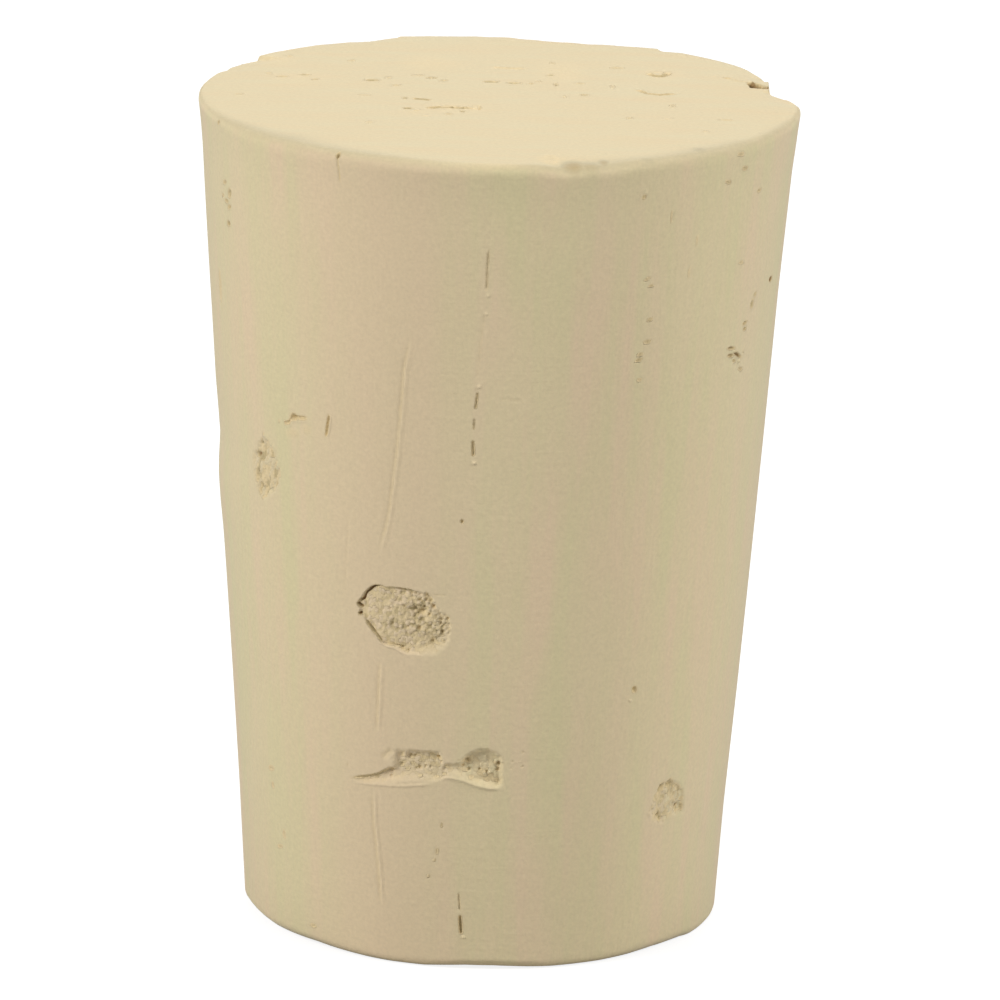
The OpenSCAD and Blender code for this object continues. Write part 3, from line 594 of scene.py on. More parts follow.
def wide_face_marks():
    """Marks along the growth line, the furrow in front of it, the flake and the pores of the wide face."""
    # Dashes and dots as x, y, reach across, reach back, depth and tone; the tone is partly painted shade in the small
    # pits and partly the brown of the marks
    for x, y, w, h, depth, tone in (
            (-9.33, 3.6, 20, 30, 8, 0.25), (-8.75, 3.05, 50, 28, 12, 0.33), (-7.87, 3.45, 40, 28, 12, 0.48),
            (-7.45, 2.65, 22, 30, 12, 0.48), (-6.04, 6.3, 35, 30, 6, 0.25), (-5.15, 2.72, 60, 32, 18, 0.52),
            (-4.5, 3.25, 20, 32, 8, 0.3), (-4.15, 1.95, 35, 24, 9, 0.35), (-3.3, 3.85, 60, 20, 4, 0.22),
            (-2.78, 3.45, 55, 24, 14, 0.5), (-2.25, 3, 40, 22, 10, 0.4), (-0.35, 2.97, 74, 30, 18, 0.5),
            (0.57, 2.83, 62, 28, 18, 0.5), (1.25, 2.78, 26, 24, 10, 0.4), (1.54, 3.3, 26, 22, 8, 0.35),
            (2.26, 2.75, 16, 50, 12, 0.5), (2.05, 4.5, 36, 28, 10, 0.45), (2.12, 6.8, 26, 30, 5, 0.25),
            (3.23, 3.1, 40, 24, 7, 0.28), (4.55, 2.7, 16, 50, 8, 0.3), (4.73, 6.2, 60, 32, 6, 0.3),
            (3.4, 1, 36, 28, 10, 0.42), (2.63, 0.6, 12, 50, 5, 0.22), (5.2, -3, 24, 26, 6, 0.35),
            (6.72, -2.95, 40, 20, 5, 0.16), (6.93, -0.57, 16, 45, 8, 0.35), (9.06, -2.85, 60, 24, 5, 0.22),
            (-5.4, 0, 50, 22, 5, 0.24), (-10.4, -0.43, 36, 24, 6, 0.3), (-5.14, -4.9, 30, 40, 4, 0.2),
            (-8.6, 6.9, 30, 30, 6, 0.22), (8.2, -5, 25, 28, 3, 0.15), (-2, -3.1, 30, 25, 6, 0.3),
            (-1.45, -2.6, 26, 24, 8, 0.5), (-2.9, -3.5, 35, 30, 3, 0.1), (-3.78, -0.4, 24, 26, 10, 0.5),
            (-3.65, -2.25, 42, 32, 12, 0.52), (-3.3, -2.6, 40, 30, 6, 0.2)):
        yield spot(wide(x, y), w, 1.35 * h, depth, 0, 1.15 * tone, 0.3 * depth, MEDIUM, 0.7)
    face = wide(0, 0)
    # Grooves with painted shade in them, partly brown
    for path, width, depth, lip, tone in (
            ([(540, 220), (565, 203), (591, 155), (644, 135), (697, 158), (715, 175)], 20, 10, 4, 0.34),
            ([(-40, 575), (30, 560), (110, 560)], 40, 4, 0, 0.2),
            ([(-350, -45), (-310, -55), (-275, -68)], 24, 12, 7, 0.48)):
        yield slit(face, path, width, depth, lip, 1, tone, tone_spread=0.8)
    # Furrow with a raised far edge, and painted shade in it, partly brown
    furrow = [
        (-295, -190), (-260, -172), (-210, -150), (-160, -155), (-120, -160), (-75, -130), (-60, -190), (-75, -225),
        (-120, -220), (-160, -220), (-210, -215), (-260, -230), (-295, -220)]
    rows = [(-270, -200, 5, 15, 1), (-190, -190, 7, 15, 2), (-90, -190, 6, 15, 1)]
    yield hollow(face, furrow, rows, grain=(20, 10), torn=3, tone=0.15, seed=5)
    yield slit(face, [(-290, -210), (-236, -187), (-189, -192), (-144, -188), (-85, -193)], 30, 16, 5,
               tone=0.42, tone_spread=0.7)
    yield slit(face, [(-80, -200), (-78, -140)], 13, 5, tone=0.16)
    # Two dark pores: painted shade in them with the brown of the cork
    for x, w in ((-1.87, 20), (-1.44, 24)):
        yield spot(wide(x, -1.9), w, 40, 12, tone=0.66, tone_spread=0.7)
    # Raised nubs, painted pale as a highlight
    for x, y, w, h in ((-2.88, -1.5, 36, 60), (-2.4, -2.35, 50, 36), (-1.6, -2.4, 30, 28.8), (-3, -0.25, 40, 36)):
        yield spot(wide(x, y), w, h, -5, tone=-0.5, tone_spread=0.6)
    # Warm halo round it
    for x, y, w, h, tone in (
            (-1.9, -2, 340, 240, 0.06), (-3.3, -2.7, 160, 240, 0.05), (-9.16, 6.3, 240, 300, 0.09),
            (-2.9, 6.3, 300, 400, 0.08), (2.5, 5.2, 240, 500, 0.1), (6.6, 5, 200, 300, 0.07),
            (-8, 2.8, 340, 400, 0.05), (2.05, -10.4, 120, 220, 0.2), (-9, 8.3, 100, 120, 0.2)):
        yield spot(wide(x, y), w, h, 0.4, tone=tone, cell=0.3)
    # Lifted flake: a crescent hollow open to the lower right, with painted shade in it and its raised lip painted pale
    # as a highlight
    yield slit(face, [(595, 550), (620, 500), (650, 485), (675, 520), (685, 570)], 34, 20, tone=0.45, tone_spread=0.8)
    yield slit(face, [(615, 575), (645, 560), (660, 590)], 45, -9, tone=-0.5)


def foot_marks():
    """The growth line and a few pores on the foot, which is seen from below only, with painted shade in the grooves
    and hollows.
    """
    for x in (-6.4, -3.1, 0.4, 2.6, 6):
        y = 3 + 0.35 * math.sin(math.radians(x * 47 + 20)) + 0.2 * math.sin(math.radians(x * 110))
        yield slit(foot(x, y), [(-65, -5), (0, 8), (65, 2)], 30, 15, tone=0.25, cell=MEDIUM)
    for x, y, w, seed in ((-3.5, -2.4, 90, 90), (4.2, -4.1, 60, 91), (1.6, 5.8, 50, 92), (-5.4, 4.9, 50, 93)):
        yield small_pit(foot(x, y), w, 0.7 * w, seed)


def rim_marks():
    """The open crack in front of the slab at the right rim, and the growth line running up to it. The crack is painted
    dark, painted shade in it with the brown of the cork, and its lip pale as a painted highlight.
    """
    here, face = wide(10.35, 3.6), wide(0, 0)
    outline = [
        (-42, 68), (-10, 60), (20, 30), (42, -10), (50, -45), (40, -56), (10, -55), (-20, -45), (-32, 0)]
    rows = [
        (-30, 50, 10, 8, 1), (0, 30, 14, 10, 2), (30, 0, 10, 10, 3), (-10, -30, 40, 7, 1), (15, -40, 40, 7, 1),
        (40, -42, 30, 7, 1)]
    holes = [(-10, -25, 26, 20), (32, -42, 20, 16), (-28, 12, 12, 12)]
    yield hollow(here, outline, rows, holes, tone=0.3, seed=35)
    yield slit(face, [(1005, 430), (1025, 395), (1045, 360), (1085, 320)], 34, 16, tone=0.84, ends=0.1, tone_spread=0.8)
    yield spot(wide(10.3, 3.8), 42, 60, 20, tone=0.88, tone_spread=0.6)
    yield slit(here, [(-25, -66), (10, -72), (45, -78)], 22, -1.5, tone=-0.3)
    yield slit(face, [(855, 520), (880, 505)], 22, 5, tone=0.2, cell=MEDIUM)
    yield slit(face, [(905, 495), (935, 480)], 30, 14, tone=0.5)
    yield slit(face, [(935, 475), (960, 442), (995, 425)], 20, 10, 4, -1, 0.35)


def rim_zones():
    """Finer cells where the rims are worn or broken."""
    face = wide(0, 0)
    for low, high in ((-127, -94), (115, 126), (158, 178), (196, 212)):
        arc = [math.radians(turn) for turn in np.linspace(low, high, 6)]
        yield fine_zone(face, [(1190 * math.sin(a), -1190 * math.cos(a)) for a in arc], 25)
    yield fine_zone(face, [(140, -1150), (250, -1130), (380, -1100), (480, -1060)], 50)
    yield fine_zone(face, [(100 * SLAB_END, 530), (100 * SLAB_END, 290)], 10, FINE)
    yield fine_zone(face, [(1120, 420), (1140, 290), (1170, 100)], 40)
    yield fine_zone(side(116, LENGTH - 0.3), [(-400, 0), (20, 0)], 30)
    yield fine_zone(side(0, 0.2), [(-160, 0), (240, 0)], 25)


def all_features():
    for group in (round_lenticel, split_lenticel, lower_lenticel, left_lenticel, side_marks, side_pores,
                  back_features, wide_face_marks, foot_marks, rim_marks, rim_zones):
        yield from group()


# ---------------------------------------------------------------- the skin of the plug
class Skin:
    """Points on the undamaged plug: where they are, which way is out, and on which face they lie."""

    def __init__(self, xyz, normal, face):
        self.xyz, self.normal, self.face = xyz, normal, face
        self.turn = np.degrees(np.arctan2(xyz[:, 0], -xyz[:, 1]))


# Rounding that the rows of cells at the wide rim are laid out for
MEAN_EDGE_R = 0.35
# Radius at the centre of the foot's rounding, and the lengths of the section's foot rim, wide rim and straight side
FOOT_RIM_R = NARROW_R + RISE * FOOT_EDGE_R - FOOT_EDGE_R / math.cos(TAPER)
FOOT_ARC = FOOT_EDGE_R * (math.pi / 2 - TAPER)
WIDE_ARC = MEAN_EDGE_R * (math.pi / 2 + TAPER)
STRAIGHT = LENGTH - FOOT_EDGE_R - MEAN_EDGE_R


def wide_rim(turn):
    """Radius of the flat face inside the wide rim's rounding at each turn, and the size of the rounding."""
    size = rows_at(WIDE_EDGE, turn)
    return WIDE_R - FLARE_OUT - RISE * size - size / math.cos(TAPER), size


def side_points(i, j):
    """The skin at columns i and rows j of the side's lattice, row 0 at the foot."""
    turn = 2 * math.pi * i / (COLUMNS * STEPS)
    rim_r, size = wide_rim((np.degrees(turn) + 180) % 360 - 180)
    s = (FOOT_ARC + STRAIGHT + WIDE_ARC) * j / (ROWS * STEPS)
    # Direction of the outward normal in the section: down at the foot, up at the wide face
    past = np.maximum(s - FOOT_ARC - STRAIGHT, 0)
    lean = np.where(s < FOOT_ARC, -math.pi / 2 + s / FOOT_EDGE_R, -TAPER + past / WIDE_ARC * (math.pi / 2 + TAPER))
    # The rounding's centre and size go over from the foot's to the wide rim's along the straight side
    climb = np.clip((s - FOOT_ARC) / STRAIGHT, 0, 1)
    edge = FOOT_EDGE_R + climb * (size - FOOT_EDGE_R)
    r = FOOT_RIM_R + climb * (rim_r - FOOT_RIM_R) + edge * np.cos(lean)
    z = FOOT_EDGE_R + climb * (LENGTH - size - FOOT_EDGE_R) + edge * np.sin(lean)
    r += flare(z)
    xyz = np.stack([r * np.sin(turn), -r * np.cos(turn), z], axis=1)
    normal = np.stack([np.cos(lean) * np.sin(turn), -np.cos(lean) * np.cos(turn), np.sin(lean)], axis=1)
    return Skin(xyz, normal, np.full(len(r), "side"))


def face_points(face, i, j):
    """The skin at columns i and rows j of a flat face's square lattice, pulled out to the disc."""
    half = FACE_CELLS * STEPS / 2
    a, b = i / half - 1, j / half - 1
    steep = np.abs(a) <= np.abs(b)
    reach, other = np.where(steep, [b, a], [a, b])
    angle = other / np.where(reach == 0, 1, reach) * math.pi / 4
    angle = np.where(steep, math.pi / 2 - angle, angle)
    x, y = reach * np.cos(angle), reach * np.sin(angle)
    rim = wide_rim(np.degrees(np.arctan2(x, -y)))[0] + FLARE_OUT
    radius, z, up = (rim, LENGTH, 1) if face == "wide" else (FOOT_RIM_R, 0, -1)
    xyz = np.stack([radius * x, radius * y, np.full(len(a), z)], axis=1)
    return Skin(xyz, np.tile([0.0, 0.0, up], (len(a), 1)), np.full(len(a), face))


def border(i, j, size):
    """Lattice points round a square of cells, from its low corner along i first."""
    steps = range(size)
    return ([(i + k, j) for k in steps] + [(i + size, j + k) for k in steps] +
            [(i + size - k, j + size) for k in steps] + [(i, j + size - k) for k in steps])


class Sheet:
    """One face's square cells as rows of (i, j, size in steps), split where a finer size is wanted."""

    def __init__(self, point_at, columns, rows, wanted):
        self.point_at = point_at
        i, j = np.meshgrid(np.arange(columns) * STEPS, np.arange(rows) * STEPS, indexing="ij")
        cells = np.stack([i.ravel(), j.ravel()], axis=1)
        size, kept = STEPS, []
        while size > 1:
            # A cell reaches nearer to the features than its middle
            want = wanted(point_at(*(cells + size / 2).T), 0.55 * size * STEP)
            split = want < size * STEP
            kept.append(np.insert(cells[~split], 2, size, axis=1))
            size //= 2
            cells = np.concatenate([cells[split] + [di, dj] for di in (0, size) for dj in (0, size)])
        self.cells = np.concatenate(kept + [np.insert(cells, 2, 1, axis=1)])
        # Whether each lattice point is a corner of some cell, and its number in the mesh
        self.used = np.zeros((columns * STEPS + 1, rows * STEPS + 1), bool)
        i, j, size = self.cells.T
        for di, dj in np.ndindex(2, 2):
            self.used[i + di * size, j + dj * size] = True
        self.number = np.full(self.used.shape, -1)


def plug_skin(features):
    """The whole skin of the plug, as its points and a list of polygons."""
    def wanted(points, reach):
        """The cell size wanted round each point: fine at the features and at the rims, coarser away from them."""
        want = np.full(len(points.xyz), FAR)
        for feature in features:
            want = np.minimum(want, feature.cell + GRADING * np.maximum(feature.distance(points) - reach, 0))
        x, y, z = points.xyz.T
        inward = np.where(z > LENGTH / 2, WIDE_R - OVER_RIM, FOOT_RIM_R) - FACE_BAND - np.hypot(x, y)
        away = np.where(points.face == "side", np.minimum(LENGTH - WIDE_BAND - z, z - FOOT_BAND), inward)
        return np.minimum(want, COARSE + RIM_GRADING * np.maximum(away, 0))

    around = Sheet(side_points, COLUMNS, ROWS, wanted)
    ends = [Sheet(partial(face_points, face), FACE_CELLS, FACE_CELLS, wanted) for face in ("foot", "wide")]
    rings = (0, ROWS * STEPS)
    # The border of a flat face and the end ring of the side share their points. The border starts at the disc's
    # corner at -45 degrees from the front, towards -X.
    ring = tuple(np.roll(border(0, 0, FACE_CELLS * STEPS), -COLUMNS * STEPS // 8, axis=0).T)
    around.used[0] |= around.used[-1]
    for sheet, row in zip(ends, rings):
        both = around.used[:-1, row] | sheet.used[ring]
        around.used[:-1, row] = sheet.used[ring] = both

    blocks, polygons = [], []

    def add_points(sheet, i, j):
        """Adds the points i, j of a sheet's lattice and returns their numbers."""
        start = sum(len(block.xyz) for block in blocks)
        blocks.append(sheet.point_at(i, j))
        return start + np.arange(len(i))

    def add_sheet(sheet, flip=False):
        """Numbers the sheet's own points, then makes its polygons, with a middle point where an edge is divided."""
        i, j = np.nonzero(sheet.used & (sheet.number < 0))
        sheet.number[i, j] = add_points(sheet, i, j)
        if sheet is around:
            sheet.used[-1], sheet.number[-1] = sheet.used[0], sheet.number[0]
        loops = [[sheet.number[p] for p in border(*cell) if sheet.used[p]] for cell in sheet.cells.tolist()]
        divided = [len(loop) > 4 for loop in loops]
        i, j, size = sheet.cells[divided].T
        middles = iter(add_points(sheet, i + size / 2, j + size / 2))
        for loop, fan in zip(loops, divided):
            if flip:
                loop.reverse()
            if fan:
                middle = next(middles)
                polygons.extend([middle, a, b] for a, b in zip(loop, loop[1:] + loop[:1]))
            else:
                polygons.append(loop)

    around.used[-1] = False
    add_sheet(around)
    for sheet, row, flip in zip(ends, rings, (True, False)):
        sheet.number[ring] = around.number[:-1, row]
        add_sheet(sheet, flip)
    skin = Skin(*(np.concatenate([getattr(block, part) for block in blocks]) for part in ("xyz", "normal", "face")))
    return skin, polygons


# ---------------------------------------------------------------- worn and broken rims
# How far each stretch of the rims has worn away at the corner, as rows of (turn, hundredths). At the rear the
# turns go on past 180.
LEFT_WEAR = [
    (-125.2, 0), (-124.5, 20), (-122, 18), (-118.5, 10), (-114, 8), (-112.5, 14), (-108, 6), (-103, 6), (-98, 2),
    (-92, 0)]
FRONT_CHIP = [(6.5, 0), (9, 6), (11.5, 16), (14.5, 18), (17.5, 10), (20.5, 12), (23, 10), (28, 0)]
REAR_WEAR = [
    (112, 24), (115.5, 24), (118, 14), (120, 8), (123, 3), (127, 0), (142, 0), (144.5, 6), (146, 10), (146.8, 10),
    (147.8, 1), (153, 8), (158, 12), (162, 20), (170, 22), (174, 16), (178, 10), (190, 7), (197, 3), (200.3, 0),
    (201, 6), (207, 13), (211, 9), (218, 4), (226, 2), (232, 0)]
FOOT_WEAR = [
    (-88, 6), (-78, 25), (-68, 24), (-60, 18), (-43, 18), (-37, 12), (-28, 3), (-22, 0), (-13, 0), (-8, 8), (-3, 16),
    (4, 17), (9, 12), (13, 8), (18, 4), (31, 4), (40, 10), (48, 17), (56, 13), (60, 10), (64, 0)]
BREAK = [
    (84, 0), (88, 3), (91.5, 10), (94.5, 20), (98, 29), (103, 42), (108.5, 56), (112.6, 65), (116.3, 71), (116.6, 0)]
# How far along the side the wear of the wide rim and of the foot's rim runs out
WIDE_RUN, FOOT_RUN = 2.4, 1.6
# The slab behind the growth line ends at this x, with an upright wall
SLAB_END = 10.86
# How far in the wide face the painted shade of its worn rounding reaches behind the rim, as rows of (turn, hundredths)
RIM_SHADE_REACH = [
    (-180, 20), (-100, 20), (-80, 40), (-65, 70), (-56, 120), (-46, 170), (-36, 160), (-27, 130), (-15, 80), (0, 50),
    (8, 80), (15, 160), (24, 150), (31, 130), (42, 160), (50, 140), (58, 80), (66, 80), (76, 50), (90, 20), (180, 20)]
# Tone of the cork laid bare where the wide rim has broken, as rows of (turn, hundredths of the full tone)
BARED = [(80, 0), (88, 16), (116, 16), (116.3, 0)]
# Darker patches on the wide rim by the front chip, painted shade of its steep bevel with a brownish stain: x, y, their
# reach in x and y, and how strong, where 1 is as dark as the painted shade of the rim
SHADE_AND_STAIN_PATCHES = [
    (2.95, -11.2, 0.85, 0.9, 2.2), (3.6, -11.2, 1.2, 0.9, 1.4), (4.15, -10.7, 0.4, 0.7, 1.9),
    (7.9, -8.3, 0.5, 0.6, 1.5), (5.9, -10.2, 0.7, 0.6, 1.1)]
# How far the side stands out (or in) at the left and the right, as rows of (height, hundredths)
LEFT_SWELL = [
    (0, -2), (5, -4), (10, -1), (14, 2), (15.6, 4), (17, 10), (18.2, 11), (18.9, 4), (19.6, -4), (20.6, -2), (22, 2),
    (30, 2), (33.6, 0)]
RIGHT_SWELL = [(0, 2), (4.6, -4), (10, 0), (20, 1), (26, -3), (31, 1), (32, 5), (33.6, 4)]


def rim_drop(skin):
    """How far the wide rim has worn or broken down at each point, in millimetres."""
    x, y, z = skin.xyz.T
    inward = side_r(z) - np.hypot(x, y)
    ragged = 1 + 0.25 * layered_noise(flat(x, y), (0.6, 0.6, 1), 31)
    drop = rows_at(LEFT_WEAR, skin.turn, 0) * np.clip(1.15 - inward / 1.1, 0, 1) * ragged
    drop = np.maximum(drop, rows_at(FRONT_CHIP, skin.turn, 0) * np.clip(1.05 - inward / 2.1, 0, 1) ** 1.5)
    drop = np.maximum(drop, rows_at(REAR_WEAR, skin.turn % 360, 0) * np.clip(1.1 - inward / 0.9, 0, 1) * ragged)
    # Right: beside the slab's upright end the break is deep at once, and further forward it slopes away
    beside = smooth((x - SLAB_END) / 0.07) * np.clip(1.2 - inward / 1.6, 0.6, 1)
    sloping = np.clip(1.1 - inward / 1.15, 0, 1)
    rear = smooth((y - 2.3) / 0.9)
    broken = rows_at(BREAK, skin.turn, 0) * (rear * beside + (1 - rear) * sloping)
    drop = np.maximum(drop, broken * (((x > SLAB_END) & (skin.turn < 117)) | (y < 2.6)))
    wear = np.clip(0.03 * noise(skin.xyz, (2.2, 2.2, 9), 53), 0, 1)
    return drop + wear * np.clip(1 - inward / 0.5, 0, 1)


def rim_shade_and_stain(skin):
    """Painted shade of the wide rim's worn rounding at each point: 1 at the corner, running out across the face and
    down the side, and above 1 at the darker patches by the front chip, painted shade with a brownish stain.
    """
    x, y, z = skin.xyz.T
    inward = side_r(LENGTH) - np.hypot(x, y)
    reach = rows_at(RIM_SHADE_REACH, skin.turn) * (1 + 0.2 * noise(skin.xyz, (1.5, 1.5, 9), 55))
    strength = np.clip(reach / 0.8, 0, 1) * np.clip(1 - (LENGTH - z) / 0.5, 0, 1)
    shade_and_stain = strength * (1 - smooth(inward / reach))
    # The darker patches by the front chip: painted shade of its bevel, with a brownish stain
    for patch_x, patch_y, reach_x, reach_y, dark in SHADE_AND_STAIN_PATCHES:
        far = np.hypot((x - patch_x) / reach_x, (y - patch_y) / reach_y) + 0.1 * noise(skin.xyz, (0.4, 0.4, 9), 57)
        shade_and_stain = np.maximum(shade_and_stain, dark * (1 - smooth(far)) * smooth((z - LENGTH + 0.8) / 0.4))
    return shade_and_stain


def foot_rise(skin):
    """How far the foot's rim has chipped up at each point."""
    x, y, z = skin.xyz.T
    return rows_at(FOOT_WEAR, skin.turn, 0) * np.clip(1.1 - (side_r(z) - np.hypot(x, y)) / 0.8, 0, 1)


def swell(skin):
    """How far the side stands out at each point through uneven cutting, in millimetres."""
    total = 0.02 * noise(skin.xyz, (5, 5, 9), 51) + 0.008 * noise(skin.xyz, (1.3, 1.3, 4), 52) - 0.022
    for rows, turn in ((LEFT_SWELL, -90), (RIGHT_SWELL, 90)):
        near = 1 - smooth((np.abs(skin.turn - turn) - 12) / 22)
        total += near * rows_at(rows, skin.xyz[:, 2]) * (skin.face == "side")
    return total


def worn_skin():
    """The plug's skin with every cut, pore, chip and wave worked into it, and what paints it at each point: the tone,
    with painted shade in pits and painted highlights on lips and nubs, the end faces, and the painted shade of the
    wide rim.
    """
    features = list(all_features())
    skin, polygons = plug_skin(features)
    depth = -swell(skin)
    tone_and_painted_light = np.zeros(len(depth))
    for feature in features:
        feature.apply(skin, depth, tone_and_painted_light)
    xyz = skin.xyz - skin.normal * depth[:, None]
    z = skin.xyz[:, 2]
    drop = rim_drop(skin)
    upper = smooth((z - (LENGTH - WIDE_RUN)) / WIDE_RUN) ** 1.5
    lower = smooth((FOOT_RUN - z) / FOOT_RUN) ** 1.5
    shift = foot_rise(skin) * lower - drop * upper
    xyz[:, 2] += shift
    # A point of the side stays on the taper as it moves up or down
    slide = (side_r(z + shift) - side_r(z)) * (skin.face == "side") / np.maximum(np.hypot(xyz[:, 0], xyz[:, 1]), 1)
    xyz[:, :2] *= (1 + slide)[:, None]
    xyz[:, 2] = np.clip(xyz[:, 2], 0, LENGTH)
    bared = smooth((drop - 0.02) / 0.28) * (z > LENGTH - 0.5)
    tone_and_painted_light = np.maximum(tone_and_painted_light, rows_at(BARED, skin.turn) * bared)
    end = smooth((np.abs(skin.normal[:, 2]) - 0.35) / 0.6)
    return xyz, polygons, {"tone_and_painted_light": tone_and_painted_light, "end": end, "shade_and_stain": rim_shade_and_stain(skin)}


# ---------------------------------------------------------------- material
SIDE = (0.80, 0.68, 0.42)
PINK = (0.83, 0.655, 0.43)
GREEN = (0.77, 0.675, 0.40)
END = (0.771, 0.646, 0.395)
END_BAND = (0.785, 0.628, 0.372)
# Painted shade of the wide rim's worn rounding
RIM_SHADE = (0.60, 0.505, 0.31)
# Darker still: painted shade of the front chip's steep bevel, with a brownish stain
SHADE_AND_STAIN = (0.52, 0.40, 0.21)
# Painted highlight on crumb tops, raised lips and nubs
PAINTED_HIGHLIGHT = (0.98, 0.84, 0.60)
WARM = (0.84, 0.67, 0.39)
# Tan and dark brown of pits, grooves, cracks and holes: partly painted shade in them and partly the brown of the cork
# there
SHADED_TAN = (0.60, 0.48, 0.26)
SHADED_BROWN = (0.24, 0.11, 0.025)
WHITE = (1, 1, 1)
# Greys of the floor for the rays that light the cork and for its faint shadow, the glow that the camera sees, and
# the strength of the light from all round
FLOOR_LIT, FLOOR_SHADE, FLOOR_GLOW, AMBIENT = 0.52, 0.3, 0.84, 0.25


class Nodes:
    """Short hands for building the nodes of a material or a world."""

    def __init__(self, owner):
        owner.use_nodes = True
        self.owner, self.tree = owner, owner.node_tree
        self.tree.nodes.clear()

    def node(self, kind, inputs=(), output=0, **settings):
        """Adds a node, sets or links its inputs, and returns one of its outputs."""
        made = self.tree.nodes.new("ShaderNode" + kind)
        for key, value in settings.items():
            setattr(made, key, value)
        for key, value in dict(inputs).items():
            socket = made.inputs[key]
            if isinstance(value, bpy.types.NodeSocket):
                self.tree.links.new(value, socket)
            else:
                socket.default_value = (*value, 1) if socket.type == "RGBA" else value
        return made.outputs[output] if made.outputs else None

    def math(self, operation, a, b):
        return self.node("Math", {0: a, 1: b}, operation=operation)

    def ramp(self, value, low, high, out_low=0, out_high=1):
        """Value taken from the range low to high to the range out_low to out_high, held at both ends."""
        return self.node("MapRange", {"Value": value, "From Min": low, "From Max": high, "To Min": out_low,
                                      "To Max": out_high}, "Result", clamp=True)

    def mix(self, factor, a, b):
        return self.node("Mix", {0: factor, 6: a, 7: b}, 2, data_type="RGBA")

    def stretched(self, coordinates, scale):
        return self.node("VectorMath", {0: coordinates, 1: scale}, operation="MULTIPLY")


def cork_material():
    cork = Nodes(bpy.data.materials.new("cork"))
    place = cork.stretched(cork.node("TexCoord", output="Object"), (1 / MM, 1 / MM, 1 / MM))
    # From the mesh: the tone, which holds painted shade in pits and painted highlights among the cork's own tones, the
    # end faces, and the painted shade and stains of the wide rim
    tone_and_painted_light, end, shade_and_stain = (cork.node("Attribute", output="Fac", attribute_name=name) for name in ("tone_and_painted_light", "end", "shade_and_stain"))
    times = partial(cork.math, "MULTIPLY")
    plus = partial(cork.math, "ADD")

    def noise(scale, detail):
        """Noise from 0 to 1 whose lumps are one over scale millimetres along x, y and z."""
        return cork.node("TexNoise", {"Vector": cork.stretched(place, scale), "Scale": 1, "Detail": detail})

    # Colour: streaks up the side, bands across the ends, a fine speckle over both
    streaks = noise((0.9, 0.9, 0.05), 3)
    blotches = noise((0.22, 0.22, 0.1), 3)
    bands = noise((0.25, 1.1, 1.1), 4)
    side_colour = cork.mix(cork.ramp(streaks, 0.36, 0.66), GREEN, PINK)
    side_colour = cork.mix(cork.ramp(blotches, 0.3, 0.6, 0.3), SIDE, side_colour)
    # A pinkish layer stands in front, 23 degrees left of the middle
    x, y, _ = cork.node("SeparateXYZ", {0: place}).node.outputs
    beside = cork.math("ABSOLUTE", plus(cork.math("ARCTAN2", x, times(y, -1)), math.radians(23)), 0)
    side_colour = cork.mix(cork.ramp(beside, math.radians(9), math.radians(22), 0.75, 0), side_colour, PINK)
    end_colour = cork.mix(cork.ramp(bands, 0.35, 0.7), END, END_BAND)
    # Painted shade over the worn rounding of the wide rim, on the end faces
    end_colour = cork.mix(cork.ramp(shade_and_stain, 0, 1), end_colour, RIM_SHADE)
    colour = cork.mix(end, side_colour, end_colour)
    # Darker patches by the front chip: painted shade of its steep bevel, with a brownish stain
    colour = cork.mix(cork.ramp(shade_and_stain, 1, 2), colour, SHADE_AND_STAIN)
    # Painted highlights where the tone is below 0, then warm, tan and brown tones; the tan and brown in pits, grooves
    # and holes are partly painted shade
    colour = cork.mix(cork.ramp(tone_and_painted_light, -0.5, 0, 1, 0), colour, PAINTED_HIGHLIGHT)
    for low, high, tint in ((0, 0.15, WARM), (0.15, 0.5, SHADED_TAN), (0.5, 1, SHADED_BROWN)):
        colour = cork.mix(cork.ramp(tone_and_painted_light, low, high), colour, tint)
    speckle = cork.ramp(noise((7, 7, 7), 2), 0.25, 0.75, 0.955, 1.04)
    colour = cork.node("VectorMath", {0: colour, "Scale": speckle}, operation="SCALE")

    # Bump: the fine lines of the cutting round the side, streaks up it, and an open grain everywhere
    lines = times(noise((0.35, 0.35, 9), 2), 0.006)
    upright = times(noise((5, 5, 0.25), 2), 0.012)
    grain = times(noise((4, 4, 4), 3), 0.018)
    crumbs = times(times(noise((9, 9, 7), 2), cork.ramp(tone_and_painted_light, 0.03, 0.12)), 0.05)
    height = plus(plus(times(plus(lines, upright), cork.math("SUBTRACT", 1, end)), crumbs), grain)
    bump = cork.node("Bump", {"Strength": 1, "Distance": MM, "Height": height})
    surface = cork.node("BsdfPrincipled", {"Base Color": colour, "Roughness": 0.88, "Specular IOR Level": 0.25,
                                           "Sheen Weight": 0.22, "Sheen Tint": (0.93, 1, 1),
                                           "Sheen Roughness": 0.5, "Normal": bump})
    cork.node("OutputMaterial", {"Surface": surface})
    return cork.owner


def floor_material():
    """White to the camera with a light shadow, and an ordinary white floor to the rays that light the cork."""
    floor = Nodes(bpy.data.materials.new("floor_white"))
    plain, faint = (floor.node("BsdfDiffuse", {"Color": (grey, grey, grey)}) for grey in (FLOOR_LIT, FLOOR_SHADE))
    glow = floor.node("Emission", {"Color": WHITE, "Strength": FLOOR_GLOW})
    shown = floor.node("AddShader", {0: faint, 1: glow})
    seen = floor.node("LightPath", output="Is Camera Ray")
    floor.node("OutputMaterial", {"Surface": floor.node("MixShader", {0: seen, 1: plain, 2: shown})})
    return floor.owner


# ---------------------------------------------------------------- the object
def placed(name, data):
    """A new object of the scene."""
    made = bpy.data.objects.new(name, data)
    bpy.context.scene.collection.objects.link(made)
    return made


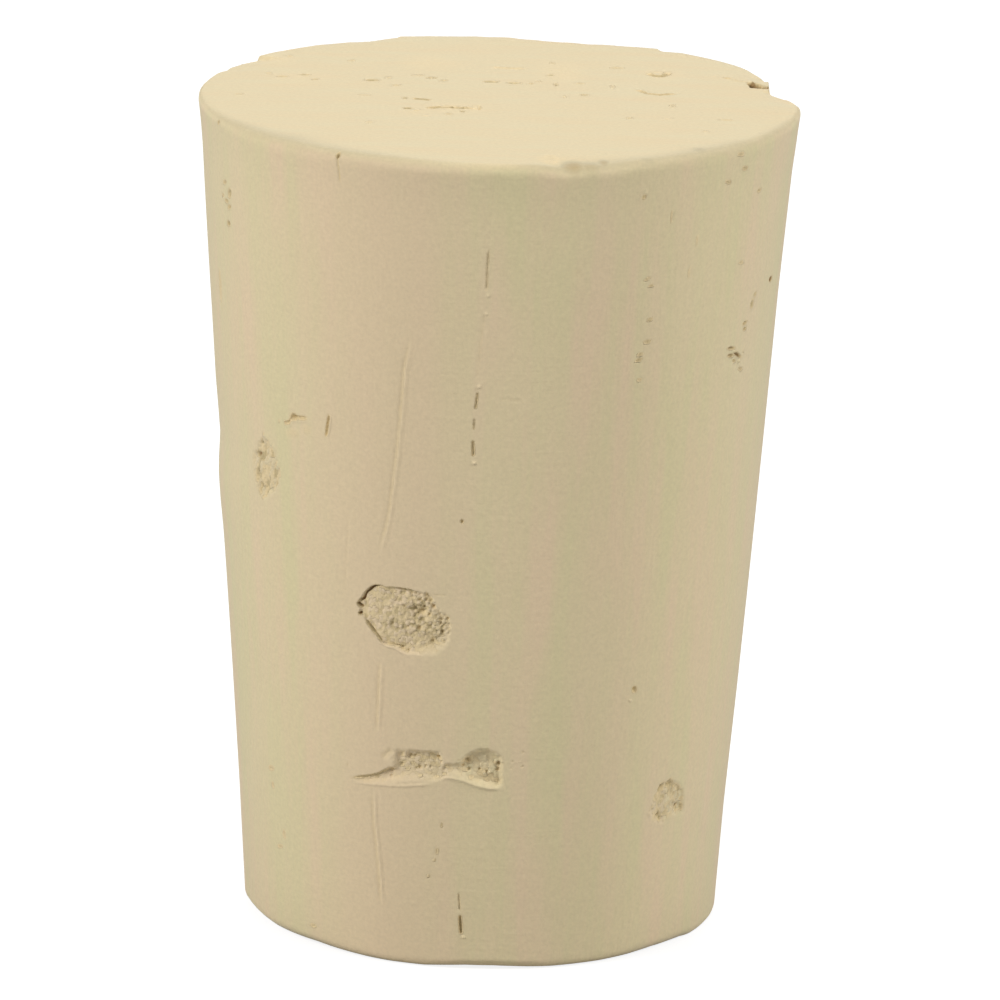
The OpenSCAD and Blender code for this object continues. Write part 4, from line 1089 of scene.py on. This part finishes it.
def make_stopper():
    xyz, polygons, paint = worn_skin()
    mesh = bpy.data.meshes.new("cork_stopper")
    mesh.from_pydata((xyz * MM).tolist(), [], polygons)
    for name, values in paint.items():
        mesh.attributes.new(name, "FLOAT", "POINT").data.foreach_set("value", values.astype(np.float32))
    mesh.polygons.foreach_set("use_smooth", np.ones(len(mesh.polygons), bool))
    mesh.materials.append(cork_material())
    mesh.validate()
    stopper = placed("cork_stopper", mesh)
    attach(stopper, "root")
    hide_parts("stopper")


# ---------------------------------------------------------------- light, floor and camera
# Square lamps 0.5 m from a point low in the cork: name, turn, height in degrees, size in metres and watts. Both keys
# stand in front, the stronger one at the left, and a wide lamp hangs above and behind.
LAMPS = (("key_left", -62, 32, 0.14, 1.34), ("key_right", 70, 32, 0.14, 1.13), ("rear", 180, 62, 0.2, 0.72))
LAMP_AIM, LAMP_FAR = (0, 0, 0.02), 0.5
FLOOR_HALF = 1.5
# The photo's view of the cork's middle: degrees from above, metres away, degrees of lean, and a long lens
CAMERA_UP, CAMERA_FAR, CAMERA_ROLL = 14.84, 0.4244, 1.46
LENS, SHIFT_X, SHIFT_Y = 377.6, 0.0109, 0.0032


def facing(aim, turn, up, distance, roll=0):
    """Where a lamp or camera stands that faces a point, from a turn and a height in degrees and a distance."""
    swing, tilt, lean = math.radians(turn), math.radians(90 - up), math.radians(roll)
    return (Matrix.Translation(aim) @ Matrix.Rotation(swing, 4, "Z") @ Matrix.Rotation(tilt, 4, "X")
            @ Matrix.Rotation(lean, 4, "Z") @ Matrix.Translation((0, 0, distance)))


def make_stage():
    sky = Nodes(bpy.data.worlds.new("white"))
    rays = sky.node("LightPath").node.outputs
    direct = rays["Is Camera Ray"]
    for name in ("Is Glossy Ray", "Is Transmission Ray"):
        direct = sky.math("MAXIMUM", direct, rays[name])
    ambient, shown = (sky.node("Background", {"Color": WHITE, "Strength": strength}) for strength in (AMBIENT, 1))
    sky.node("OutputWorld", {0: sky.node("MixShader", {0: direct, 1: ambient, 2: shown})})
    bpy.context.scene.world = sky.owner

    mesh = bpy.data.meshes.new("floor")
    corners = [(x * FLOOR_HALF, y * FLOOR_HALF, 0) for x, y in ((-1, -1), (1, -1), (1, 1), (-1, 1))]
    mesh.from_pydata(corners, [], [(0, 1, 2, 3)])
    mesh.materials.append(floor_material())
    floor = placed("floor", mesh)

    for name, turn, up, size, watts in LAMPS:
        lamp = bpy.data.lights.new(name, "AREA")
        lamp.size, lamp.energy = size, watts
        placed(name, lamp).matrix_world = facing(LAMP_AIM, turn, up, LAMP_FAR)
    bpy.context.scene.view_settings.view_transform = "Standard"


def make_camera():
    lens = bpy.data.cameras.new("photo_view")
    lens.lens, lens.shift_x, lens.shift_y, lens.clip_end = LENS, SHIFT_X, SHIFT_Y, 10
    camera = placed("photo_view", lens)
    camera.matrix_world = facing((0, 0, LENGTH * MM / 2), 0, CAMERA_UP, CAMERA_FAR, CAMERA_ROLL)
    bpy.context.scene.camera = camera


make_stopper()
make_stage()
make_camera()
